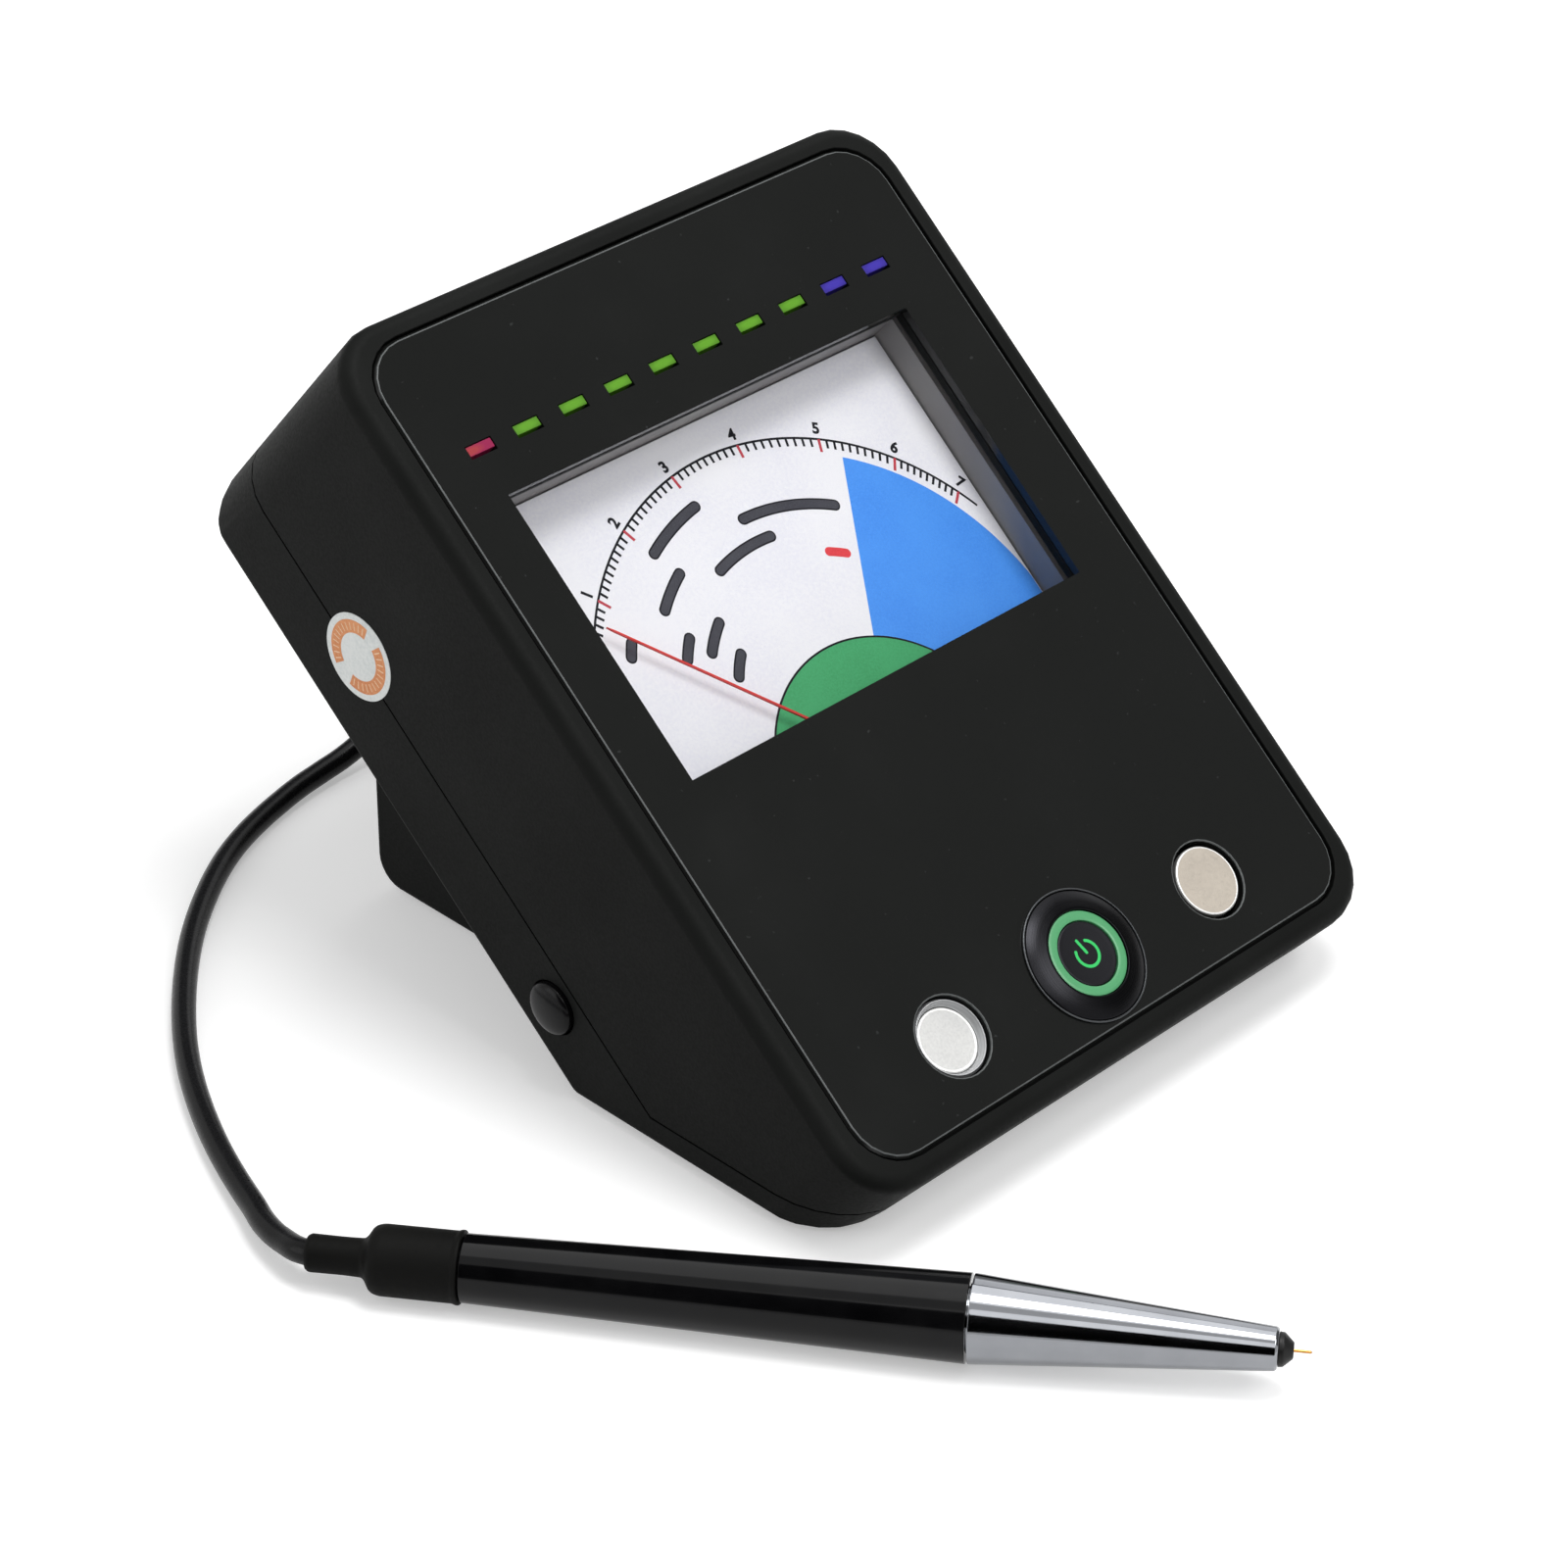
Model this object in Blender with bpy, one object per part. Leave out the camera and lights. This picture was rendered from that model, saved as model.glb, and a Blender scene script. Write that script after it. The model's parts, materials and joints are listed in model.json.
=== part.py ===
"""Bench diamond tester: a tilted console with an analogue meter, and a probe pen on a cord.

The console stands on its sloped base and a rear leg that holds four AA cells. Its panel has a
meter window, a row of ten lamps, a lit push switch and two metal reference discs. The pen lies in
front, with a spring-loaded copper tip.

Lengths are in metres and angles in radians. +Z is up, +X is the console's right, -Y its front.
Console pieces are drawn in the panel's frame: u to the right, v up the panel, n out of it.
"""

import math

import bmesh
import bpy
import numpy as np
from mathutils import Matrix, Vector

# Fits and cutting
GAP = 0.0003
SLIM_GAP = 0.00015
OVERRUN = 0.0020
MERGE_DISTANCE = 0.000001

# Facets
ROUND_STEPS = 32
HIDDEN_ROUND_STEPS = 24
SMALL_ROUND_STEPS = 16
POST_STEPS = 12
CORNER_STEPS = 6
EDGE_STEPS = 3
CURVE_SAMPLES = 40
SMOOTH_ANGLE = math.radians(32.0)

# Console housing
TILT = math.radians(40.0)
CONSOLE_WIDTH = 0.1200
CONSOLE_HEIGHT = 0.1554
CONSOLE_DEPTH = 0.0515
TOE_DEPTH = 0.0163
CORNER_RADIUS = 0.0110
FRONT_EDGE_RADIUS = 0.0025
SIDE_EDGE_RADIUS = 0.0012
TOP_BACK_RADIUS = 0.0085
HEEL_RADIUS = 0.0030
TOE_RADIUS = 0.0070
WALL = 0.0025
FRONT_WALL = 0.0015
SEAM_DEPTH = 0.0367
SEAM_LIFT = 0.0047
LIP_THICKNESS = 0.0010
LIP_HEIGHT = 0.0015
LIP_ROOT = 0.0020

# Front panel and its window
PANEL_WIDTH = 0.1110
PANEL_HEIGHT = 0.1470
PANEL_THICKNESS = 0.0015
PANEL_RADIUS = 0.0086
PANEL_CHAMFER = 0.00045
PANEL_SIDE_GAP = 0.0004
WINDOW_U = -0.00105
WINDOW_V = 0.01812
WINDOW_WIDTH = 0.0881
WINDOW_HEIGHT = 0.0519

# Rear leg
LEG_HALF_WIDTH = 0.0420
LEG_REACH = 0.0725
LEG_WALL_HEIGHT = 0.0400
LEG_CORNER_RADIUS = 0.0055
LEG_SHOULDER_RADIUS = 0.0050
LEG_EDGE_RADIUS = 0.0012
LEG_ROOT = 0.0030

# Feet
FOOT_RADIUS = 0.0034
FOOT_PROUD = 0.0012
FOOT_POCKET = 0.0008
FOOT_CHAMFER = 0.0003
FRONT_FEET_X = 0.0460
FRONT_FEET_Y = -0.0380
REAR_FEET_X = 0.0370
REAR_FEET_INSET = 0.0105

# Cells and their bay
CELL_COUNT = 4
CELL_RADIUS = 0.00725
CELL_LENGTH = 0.0505
CELL_NUB_RADIUS = 0.0026
CELL_NUB_LENGTH = 0.0010
CELL_EDGE = 0.0006
CELL_PITCH = 0.0149
BAY_SPARE = 0.0074
BAY_INSET = 0.0053
BAY_HEADROOM = 0.0004
TRAY_WALL = 0.0020
CONTACT_THICKNESS = 0.0004
CONTACT_HEIGHT = 0.0110
CONTACT_WIDTH = 0.0100
CONTACT_BUMP_RADIUS = 0.0020
CONTACT_BUMP = 0.0003
CONTACT_SPRING_BASE = 0.0042
CONTACT_SPRING_TOP = 0.0022

# Battery door
DOOR_THICKNESS = 0.0020
DOOR_LEDGE = 0.0018
DOOR_UPSTAND = 0.0120
DOOR_TRAVEL = 0.0080
DOOR_TAB_LENGTH = 0.0060
DOOR_TAB_REACH = 0.0013
DOOR_TAB_THICKNESS = 0.0010
DOOR_TAB_LIFT = 0.0007
DOOR_TAB_INSETS = (0.0067, 0.0297)
GRIP_COUNT = 5
GRIP_PITCH = 0.0022
GRIP_WIDTH = 0.0009
GRIP_DEPTH = 0.0006
GRIP_LENGTH = 0.0200
GRIP_INSET = 0.0165

# Housing screws and their bosses
SCREW_U = 0.0525
SCREW_TOP_V = 0.0640
SCREW_LOW_V = -0.0080
SCREW_HEAD_RADIUS = 0.0028
SCREW_HEAD_HEIGHT = 0.0020
SCREW_SHANK_RADIUS = 0.0015
SCREW_LENGTH = 0.0180
SCREW_RECESS = 0.0011
SCREW_RECESS_DEPTH = 0.0010
SCREW_SLOT_SHARE = 0.25
SCREW_SEAT_DEPTH = 0.0460
BOSS_RADIUS = 0.0032
BOSS_MEETING_DEPTH = 0.0410
BACK_BOSS_RADIUS = 0.0052

# Lamps
LAMP_COUNT = 10
LAMP_V = 0.05247
LAMP_PITCH = 0.00968
LAMP_LENGTH = 0.0050
LAMP_HEIGHT = 0.0020
LAMP_FLANGE = 0.0005
LAMP_SUNK = 0.0001
LAMP_BOARD_DEPTH = 0.0080
LAMP_BOARD_MARGIN = 0.0030
LAMP_BOARD_HEIGHT = 0.0096
BOARD_THICKNESS = 0.0016
LAMP_POST_RADIUS = 0.0018

# Push switch
CONTROLS_V = -0.0612
SWITCH_FLANGE_RADIUS = 0.01125
SWITCH_FLANGE_EDGE = 0.0003
SWITCH_FLANGE_TOP = 0.0012
SWITCH_RING_OUTER = 0.00711
SWITCH_RING_INNER = 0.00553
SWITCH_RING_TOP = 0.0010
SWITCH_RING_DEPTH = 0.0031
SWITCH_TUBE_RADIUS = 0.0093
SWITCH_TUBE_DEPTH = 0.0140
SWITCH_TUBE_BORE = 0.0057
ACTUATOR_TOP = 0.0007
ACTUATOR_EDGE = 0.0003
ACTUATOR_DEPTH = 0.0100
ACTUATOR_TRAVEL = 0.0020
SWITCH_BLOCK_RADIUS = 0.0070
SWITCH_BLOCK_LENGTH = 0.0050
SWITCH_PIN_COUNT = 3
SWITCH_PIN_PITCH = 0.0030
SWITCH_PIN_WIDTH = 0.0020
SWITCH_PIN_THICKNESS = 0.0006
SWITCH_PIN_LENGTH = 0.0028
NUT_CORNER_RADIUS = 0.0124
NUT_HEIGHT = 0.0028
NUT_SIDES = 6

# Reference discs
DISC_U = 0.0300
DISC_RADIUS = 0.00595
DISC_HOLE_RADIUS = 0.0067
DISC_CHAMFER = 0.0003
DISC_POCKET_DEPTH = 0.0050
DISC_BOSS_RADIUS = 0.0082
DISC_BOSS_FLOOR = 0.0016
DIAMOND_DISC_SUNK = 0.00035
SIMULANT_DISC_SUNK = 0.0010
SIMULANT_DISC_THICKNESS = 0.0017
CUP_SUNK = 0.0001
CUP_WALL = 0.0004

# Calibration knob and its potentiometer, in the left wall
KNOB_V = -0.0231
KNOB_DEPTH = 0.0431
KNOB_RADIUS = 0.0045
KNOB_DOME = 0.0014
KNOB_PROUD = 0.0005
KNOB_STEPS = 4
POT_SIDE = 0.0095
POT_LENGTH = 0.0068
POT_SHAFT_RADIUS = 0.0030
KNOB_BORE_DEPTH = 0.0012

# Meter case, lens and dial
METER_MARGIN = 0.0005
METER_WALL = 0.0018
METER_REBATE = 0.0009
METER_FLOOR_V = -0.0415
LENS_THICKNESS = 0.0010
DIAL_DEPTH = 0.0105
DIAL_THICKNESS = 0.0005

# Meter movement
PIVOT_U = -0.0012
PIVOT_V = -0.0214
NEEDLE_DEPTH = 0.0082
NEEDLE_THICKNESS = 0.0004
NEEDLE_LENGTH = 0.0551
NEEDLE_ROOT_WIDTH = 0.0010
NEEDLE_TIP_WIDTH = 0.0005
NEEDLE_TAIL_LENGTH = 0.0090
NEEDLE_TAIL_WIDTH = 0.0018
NEEDLE_HUB_RADIUS = 0.0022
NEEDLE_HUB_HALF_HEIGHT = 0.0007
NEEDLE_REST = math.radians(130.5)
NEEDLE_SWING_LOW = math.radians(-91.3)
NEEDLE_SWING_HIGH = math.radians(8.9)
STAFF_RADIUS = 0.0006
STAFF_TOP_DEPTH = 0.0076
DIAL_HOLE_RADIUS = 0.0014
BRIDGE_DEPTH = 0.0114
BRIDGE_THICKNESS = 0.0008
BRIDGE_WIDTH = 0.0060
BRIDGE_POST_INNER = 0.0130
BRIDGE_POST_OUTER = 0.0170
COIL_WIRE = 0.0010
COIL_WIDTH = 0.0030
COIL_INNER = 0.0084
COIL_OUTER = 0.0106
COIL_END_GAP = 0.0004
CORE_RADIUS = 0.0080
CORE_DEPTH = 0.0140
CORE_LENGTH = 0.0080
CORE_ARM_WIDTH = 0.0026
CORE_ARM_INNER = 0.0050
CORE_ARM_OUTER = 0.0145
CORE_ARM_THICKNESS = 0.0012
CORE_ARM_RIM = 0.0005
YOKE_INNER = 0.0112
YOKE_OUTER = 0.0182
TUB_WALL = 0.0018
TUB_LEDGE = 0.0030
TUB_DEPTH = 0.0263
BEARING_DEPTH = 0.0009

# Main board and buzzer
MAIN_BOARD_DEPTH = 0.0400
MAIN_BOARD_HALF_WIDTH = 0.0460
MAIN_BOARD_LOW_V = -0.0100
MAIN_BOARD_TOP_V = 0.0660
BOARD_POST_U = 0.0434
BOARD_POST_RADIUS = 0.0022
BOARD_POST_INSET_V = 0.0060
BUZZER_RADIUS = 0.0060
BUZZER_HEIGHT = 0.0075
BUZZER_HOLE_RADIUS = 0.0012
BUZZER_HOLE_DEPTH = 0.0015
BUZZER_U = 0.0300
BUZZER_V = 0.0500

# Cord and the grommet in the leg's rear wall
CORD_RADIUS = 0.0020
CORD_SPACING = 0.0080
CORD_INSERT = 0.0040
CORD_EXIT_X = 0.0100
CORD_EXIT_HEIGHT = 0.0270
GROMMET_NECK_RADIUS = 0.0037
GROMMET_FLANGE_RADIUS = 0.0052
GROMMET_FLANGE = 0.0015
GROMMET_NOSE_RADIUS = 0.0034
GROMMET_NOSE_END_RADIUS = 0.0030
GROMMET_NOSE_LENGTH = 0.0065

# The cord's route over the floor, between the grommet's mouth and the pen's sleeve
CORD_ROUTE = (
    (0.0094, 0.0860, 0.0272),
    (0.0066, 0.0930, 0.0235),
    (0.0005, 0.0990, 0.0165),
    (-0.0090, 0.1024, 0.0088),
    (-0.0204, 0.1030, 0.0036),
    (-0.0347, 0.1031, 0.0023),
    (-0.0537, 0.0957, 0.0021),
    (-0.0704, 0.0847, 0.0021),
    (-0.0864, 0.0691, 0.0021),
    (-0.0987, 0.0530, 0.0021),
    (-0.1079, 0.0360, 0.0022),
    (-0.1148, 0.0185, 0.0028),
    (-0.1181, 0.0088, 0.0038),
)

# Probe pen: the stations count from the pen's widest point towards its tip
PROBE_X = -0.0613
PROBE_Y = -0.0799
PROBE_HEADING = math.radians(-54.8)
NOSE_RADIUS = 0.0067
NOSE_LENGTH = 0.0448
NOSE_END_RADIUS = 0.00325
NOSE_EDGE = 0.0003
NOSE_WALL = 0.0009
BARREL_LENGTH = 0.0850
BARREL_REAR_RADIUS = 0.00500
BARREL_SEAT_RADIUS = 0.00450
BARREL_WALL = 0.0007
BARREL_SEAM = 0.0002
SLEEVE_RADIUS = 0.0056
SLEEVE_FRONT = -0.0756
SLEEVE_SHOULDER = -0.0872
SLEEVE_NECK = -0.0905
SLEEVE_END = -0.0992
SLEEVE_NECK_RADIUS = 0.0029
SLEEVE_LIP = 0.0002
SLEEVE_STEPS = 5
SPIGOT_LENGTH = 0.0060
SPIGOT_RADIUS = 0.0048
INSULATOR_REACH = 0.0022
INSULATOR_BASE_RADIUS = 0.0026
INSULATOR_END_RADIUS = 0.0012
INSULATOR_PLUG_LENGTH = 0.0050
INSULATOR_PLUG_RADIUS = 0.0020
TIP_RADIUS = 0.000225
TIP_REACH = 0.0027
TIP_TRAVEL = 0.0015
TIP_COLLAR_RADIUS = 0.0010
TIP_COLLAR_LENGTH = 0.0024

# Derived places
HALF_WIDTH = CONSOLE_WIDTH / 2
HALF_HEIGHT = CONSOLE_HEIGHT / 2
CENTRE_LIFT = HALF_HEIGHT * math.sin(TILT) + TOE_DEPTH * math.cos(TILT)
PANEL_RECESS = PANEL_THICKNESS + GAP
INNER_FRONT = PANEL_RECESS + FRONT_WALL
BAY_REAR = LEG_REACH - BAY_INSET
BAY_FRONT = BAY_REAR - CELL_LENGTH - BAY_SPARE
CELL_AXIS = DOOR_THICKNESS + GAP + CELL_RADIUS
BAY_TOP = CELL_AXIS + CELL_RADIUS + BAY_HEADROOM
BAY_HALF_WIDTH = CELL_PITCH * CELL_COUNT / 2 + GAP
DOOR_HALF_WIDTH = BAY_HALF_WIDTH + DOOR_LEDGE - GAP
METER_FRONT = INNER_FRONT + GAP
METER_LEFT = WINDOW_U - WINDOW_WIDTH / 2 - METER_MARGIN
METER_RIGHT = WINDOW_U + WINDOW_WIDTH / 2 + METER_MARGIN
METER_TOP = WINDOW_V + WINDOW_HEIGHT / 2 + METER_MARGIN
METER_FLOOR = DIAL_DEPTH + DIAL_THICKNESS + GAP
TUB_INNER = YOKE_OUTER + GAP
CORE_END = CORE_DEPTH + CORE_LENGTH
COIL_TOP = CORE_DEPTH - COIL_END_GAP - COIL_WIRE
COIL_END = CORE_END + COIL_END_GAP + COIL_WIRE
PROBE_SLOPE = math.asin((NOSE_RADIUS - SLEEVE_RADIUS) / -SLEEVE_FRONT)

# Finishes: sRGB colour as linear values, roughness and metallic
FINISHES = {
    "fine_textured_black_abs": ((0.012, 0.012, 0.013), 0.62, 0.0),
    "gloss_black_panel": ((0.014, 0.014, 0.014), 0.25, 0.0),
    "clear_lens": ((0.80, 0.84, 0.86), 0.05, 0.0),
    "grey_case": ((0.10, 0.095, 0.10), 0.55, 0.0),
    "white_dial": ((0.86, 0.86, 0.90), 0.50, 0.0),
    "red_needle": ((0.75, 0.030, 0.025), 0.45, 0.0),
    "copper_winding": ((0.62, 0.20, 0.08), 0.35, 1.0),
    "soft_iron": ((0.20, 0.20, 0.21), 0.45, 1.0),
    "brass": ((0.62, 0.42, 0.14), 0.35, 1.0),
    "green_circuit_board": ((0.02, 0.16, 0.06), 0.45, 0.0),
    "red_lamp": ((0.58, 0.034, 0.075), 0.25, 0.0),
    "green_lamp": ((0.16, 0.46, 0.028), 0.25, 0.0),
    "blue_lamp": ((0.070, 0.037, 0.48), 0.25, 0.0),
    "anodised_black": ((0.012, 0.012, 0.013), 0.30, 0.6),
    "green_ring": ((0.11, 0.48, 0.20), 0.35, 0.0),
    "steel": ((0.52, 0.52, 0.53), 0.30, 1.0),
    "brushed_disc": ((0.62, 0.58, 0.52), 0.35, 1.0),
    "pale_disc": ((0.80, 0.80, 0.78), 0.30, 1.0),
    "cell_jacket": ((0.05, 0.07, 0.10), 0.35, 0.2),
    "sprung_contact": ((0.60, 0.60, 0.58), 0.30, 1.0),
    "black_rubber": ((0.015, 0.015, 0.015), 0.80, 0.0),
    "cord_jacket": ((0.014, 0.014, 0.015), 0.45, 0.0),
    "gloss_black_barrel": ((0.006, 0.006, 0.006), 0.12, 0.0),
    "chrome": ((0.80, 0.80, 0.81), 0.08, 1.0),
    "black_insulator": ((0.010, 0.010, 0.010), 0.50, 0.0),
    "copper": ((0.72, 0.30, 0.14), 0.30, 1.0),
}


def clear_scene():
    """Empties the file of its objects."""
    for thing in list(bpy.data.objects):
        bpy.data.objects.remove(thing)


def linked(name, shape):
    """An object in the scene that holds a bmesh, with its faces turned outward."""
    bmesh.ops.recalc_face_normals(shape, faces=shape.faces)
    mesh = bpy.data.meshes.new(name)
    shape.to_mesh(mesh)
    shape.free()
    body = bpy.data.objects.new(name, mesh)
    bpy.context.scene.collection.objects.link(body)
    return body


def loft(name, rings):
    """A closed solid through rings of equal count, with a cap at each end."""
    shape = bmesh.new()
    loops = [[shape.verts.new(point) for point in ring] for ring in rings]
    for lower, upper in zip(loops, loops[1:]):
        for i in range(len(lower)):
            shape.faces.new((lower[i - 1], lower[i], upper[i], upper[i - 1]))
    shape.faces.new(loops[0][::-1])
    shape.faces.new(loops[-1])
    return linked(name, shape)


def turned(name, profile, steps=ROUND_STEPS):
    """A solid turned about Z from (radius, height) points. It closes on itself where it has a bore."""
    shape = bmesh.new()
    points = [shape.verts.new((radius, 0, height)) for radius, height in profile]
    edges = [shape.edges.new(pair) for pair in zip(points, points[1:])]
    if profile[0][0] > 0:
        edges.append(shape.edges.new((points[-1], points[0])))
    bmesh.ops.spin(
        shape, geom=points + edges, axis=(0, 0, 1), cent=(0, 0, 0), angle=math.tau, steps=steps
    )
    bmesh.ops.remove_doubles(shape, verts=shape.verts, dist=MERGE_DISTANCE)
    return linked(name, shape)


def cylinder(name, radius, low, high, steps=SMALL_ROUND_STEPS):
    """A plain cylinder along Z."""
    return turned(name, [(0, low), (radius, low), (radius, high), (0, high)], steps)


def rounded(corners, radii):
    """A closed outline through corners, each rounded by its own radius."""
    outline = []
    for i, (corner, radius) in enumerate(zip(corners, radii)):
        here = Vector(corner)
        if radius <= 0:
            outline.append(here)
            continue
        back = (Vector(corners[i - 1]) - here).normalized()
        ahead = (Vector(corners[(i + 1) % len(corners)]) - here).normalized()
        half = back.angle(ahead) / 2
        centre = here + (back + ahead).normalized() * (radius / math.sin(half))
        start = here + back * (radius / math.tan(half)) - centre
        sweep = start.angle_signed(here + ahead * (radius / math.tan(half)) - centre)
        for k in range(CORNER_STEPS + 1):
            turn = Matrix.Rotation(-sweep * k / CORNER_STEPS, 2)
            outline.append(centre + turn @ start)
    return outline


def rectangle(width, height, radius=0, centre=(0, 0)):
    """A rectangle's outline, with rounded corners where it has a radius."""
    u, v = centre
    signs = ((1, 1), (-1, 1), (-1, -1), (1, -1))
    corners = [(u + a * width / 2, v + b * height / 2) for a, b in signs]
    return rounded(corners, [radius] * len(corners))


def span(low_u, high_u, low_v, high_v, radius=0):
    """A rectangle's outline from its four sides."""
    centre = ((low_u + high_u) / 2, (low_v + high_v) / 2)
    return rectangle(high_u - low_u, high_v - low_v, radius, centre)


def level(outline, height):
    """An outline's points at one height along the third axis."""
    return [(a, b, height) for a, b in outline]


def across(outline, u):
    """A side profile's points at one place across the console."""
    return [(u, a, b) for a, b in outline]


def slab(name, outline, low, high):
    """An outline extruded along the third axis."""
    return loft(name, [level(outline, low), level(outline, high)])


def side_slab(name, profile, left, right):
    """A side profile extruded across the console."""
    return loft(name, [across(profile, left), across(profile, right)])


def combine(body, tools, operation):
    """Applies one Boolean with tools that lie clear of each other, and removes them."""
    shape = bmesh.new()
    for tool in tools:
        shape.from_mesh(tool.data)
        bpy.data.objects.remove(tool)
    tool = linked("tool", shape)
    step = body.modifiers.new(operation.title(), "BOOLEAN")
    step.operation = operation
    step.object = tool
    bpy.context.view_layer.update()
    solid = body.evaluated_get(bpy.context.evaluated_depsgraph_get())
    shape = bmesh.new()
    shape.from_mesh(solid.data)
    bmesh.ops.triangulate(shape, faces=shape.faces)
    body.modifiers.clear()
    shape.to_mesh(body.data)
    shape.free()
    bpy.data.objects.remove(tool)


def cut(body, *tools):
    combine(body, tools, "DIFFERENCE")


def join(body, *tools):
    combine(body, tools, "UNION")


def keep(body, *tools):
    combine(body, tools, "INTERSECT")


def moved(body, u=0, v=0, n=0):
    """Shifts the mesh itself, before the piece is seated."""
    body.data.transform(Matrix.Translation((u, v, n)))
    return body


def on_base(body):
    """Turns a shape drawn over the base, Y to the rear and Z up, into the panel's frame."""
    body.data.transform(Matrix.Rotation(-TILT, 4, "X") @ Matrix.Translation((0, 0, -CENTRE_LIFT)))
    return body


def tilted(outline):
    """(rear, up) points over the base as (v, n) points of the panel's frame."""
    return [
        (
            y * math.cos(TILT) + (z - CENTRE_LIFT) * math.sin(TILT),
            (z - CENTRE_LIFT) * math.cos(TILT) - y * math.sin(TILT),
        )
        for y, z in outline
    ]


def along_y(body, x, y, z):
    """Lays a shape turned about Z along +Y, with its origin at a place over the base."""
    body.data.transform(Matrix.Translation((x, y, z)) @ Matrix.Rotation(-math.pi / 2, 4, "X"))
    return body


def finish(name):
    """The Principled material of one finish."""
    colour, roughness, metallic = FINISHES[name]
    material = bpy.data.materials.get(name) or bpy.data.materials.new(name)
    material.use_nodes = True
    shader = material.node_tree.nodes["Principled BSDF"]
    shader.inputs["Base Color"].default_value = (*colour, 1)
    shader.inputs["Roughness"].default_value = roughness
    shader.inputs["Metallic"].default_value = metallic
    material.diffuse_color = (*colour, 1)
    return material


def seat(body, parent, look, location=(0, 0, 0), rotation=(0, 0, 0)):
    """Puts a finished piece in its place under an empty, shaded smooth between its edges."""
    body.data.materials.clear()
    body.data.materials.append(finish(look))
    body.data.shade_smooth()
    body.data.set_sharp_from_angle(angle=SMOOTH_ANGLE)
    body.parent = parent
    body.location = location
    body.rotation_euler = rotation
    return body


def frame_empty(name, parent=None, location=(0, 0, 0), rotation=(0, 0, 0)):
    """An empty that carries pieces drawn in its own frame."""
    frame = bpy.data.objects.new(name, None)
    bpy.context.scene.collection.objects.link(frame)
    frame.parent = parent
    frame.location = location
    frame.rotation_euler = rotation
    return frame


# Console housing


def base_depth(v, inset=0):
    """n of the sloped base at v, moved inward by inset."""
    return -(CENTRE_LIFT - inset + v * math.sin(TILT)) / math.cos(TILT)


def base_v(n, inset=0):
    """v where the base, moved inward by inset, reaches n."""
    return -(n * math.cos(TILT) + CENTRE_LIFT - inset) / math.sin(TILT)


def console_outline(inset):
    """The console seen square to its panel."""
    return rectangle(CONSOLE_WIDTH - 2 * inset, CONSOLE_HEIGHT - 2 * inset, CORNER_RADIUS - inset)


def console_profile(inset):
    """The console seen from its side: panel, top, back and base."""
    top = HALF_HEIGHT - inset
    back = inset - CONSOLE_DEPTH
    corners = [
        (top, OVERRUN),
        (top, back),
        (base_v(back, inset), back),
        (-top, base_depth(-top, inset)),
        (-top, OVERRUN),
    ]
    return rounded(corners, [0, TOP_BACK_RADIUS - inset, HEEL_RADIUS - inset, TOE_RADIUS - inset, 0])


def quarter(radius):
    """(inset, travel) steps round a quarter circle, from a face to the wall square to it."""
    angles = [math.pi / 2 * k / EDGE_STEPS for k in range(EDGE_STEPS + 1)]
    return [(radius * (1 - math.sin(angle)), radius * (1 - math.cos(angle))) for angle in angles]


def edged_side_slab(name, profile, half_width, radius, spare):
    """A profile extruded across the console, with rounded edges at both ends."""
    left = [(-half_width - spare, radius)]
    left += [(-half_width + travel, inset) for inset, travel in quarter(radius)]
    stations = left + [(-u, inset) for u, inset in reversed(left)]
    return loft(name, [across(profile(inset), u) for u, inset in stations])


def console_block(name):
    """The console's outer form, solid."""
    rings = [level(console_outline(inset), -travel) for inset, travel in quarter(FRONT_EDGE_RADIUS)]
    rings.append(level(console_outline(0), -CONSOLE_DEPTH - OVERRUN))
    block = loft(name, rings)
    keep(block, edged_side_slab("sides", console_profile, HALF_WIDTH, SIDE_EDGE_RADIUS, OVERRUN))
    return block


def console_cavity():
    """The room inside the console's walls."""
    room = slab("cavity", console_outline(WALL), -CONSOLE_DEPTH - OVERRUN, -INNER_FRONT)
    keep(room, side_slab("room", console_profile(WALL), -HALF_WIDTH, HALF_WIDTH))
    return room


def seam_line(offset):
    """(v, n) points of the joint between the shells, moved towards the panel by offset."""
    depth = offset - SEAM_DEPTH
    lift = SEAM_LIFT + offset
    low = -HALF_HEIGHT - OVERRUN
    return [(HALF_HEIGHT + OVERRUN, depth), (base_v(depth, lift), depth), (low, base_depth(low, lift))]


def seam_band(name, low, high, inset):
    """A rim slice between two offsets of the seam, within the outline at inset."""
    band = side_slab(name, seam_line(low) + seam_line(high)[::-1], -HALF_WIDTH, HALF_WIDTH)
    keep(band, slab("rim", console_outline(inset), -CONSOLE_DEPTH, 0))
    return band


def front_region():
    """All that lies on the panel's side of the seam."""
    line = seam_line(GAP / 2)
    far = [(line[-1][0], OVERRUN), (line[0][0], OVERRUN)]
    return side_slab("front_region", line + far, -HALF_WIDTH - OVERRUN, HALF_WIDTH + OVERRUN)


def back_region():
    """All that lies behind the seam."""
    line = seam_line(-GAP / 2)
    depth = -CONSOLE_DEPTH - OVERRUN
    far = [(line[-1][0], depth), (line[0][0], depth)]
    return side_slab("back_region", line + far, -HALF_WIDTH - OVERRUN, HALF_WIDTH + OVERRUN)


def screw_places():
    """(u, v) of the four housing screws."""
    return [(side * SCREW_U, v) for v in (SCREW_TOP_V, SCREW_LOW_V) for side in (-1, 1)]


def lamp_places():
    """u of the ten lamps, in a row over the window's middle."""
    return [WINDOW_U + LAMP_PITCH * (k - (LAMP_COUNT - 1) / 2) for k in range(LAMP_COUNT)]


def window_outline():
    return rectangle(WINDOW_WIDTH, WINDOW_HEIGHT, 0, (WINDOW_U, WINDOW_V))


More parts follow.
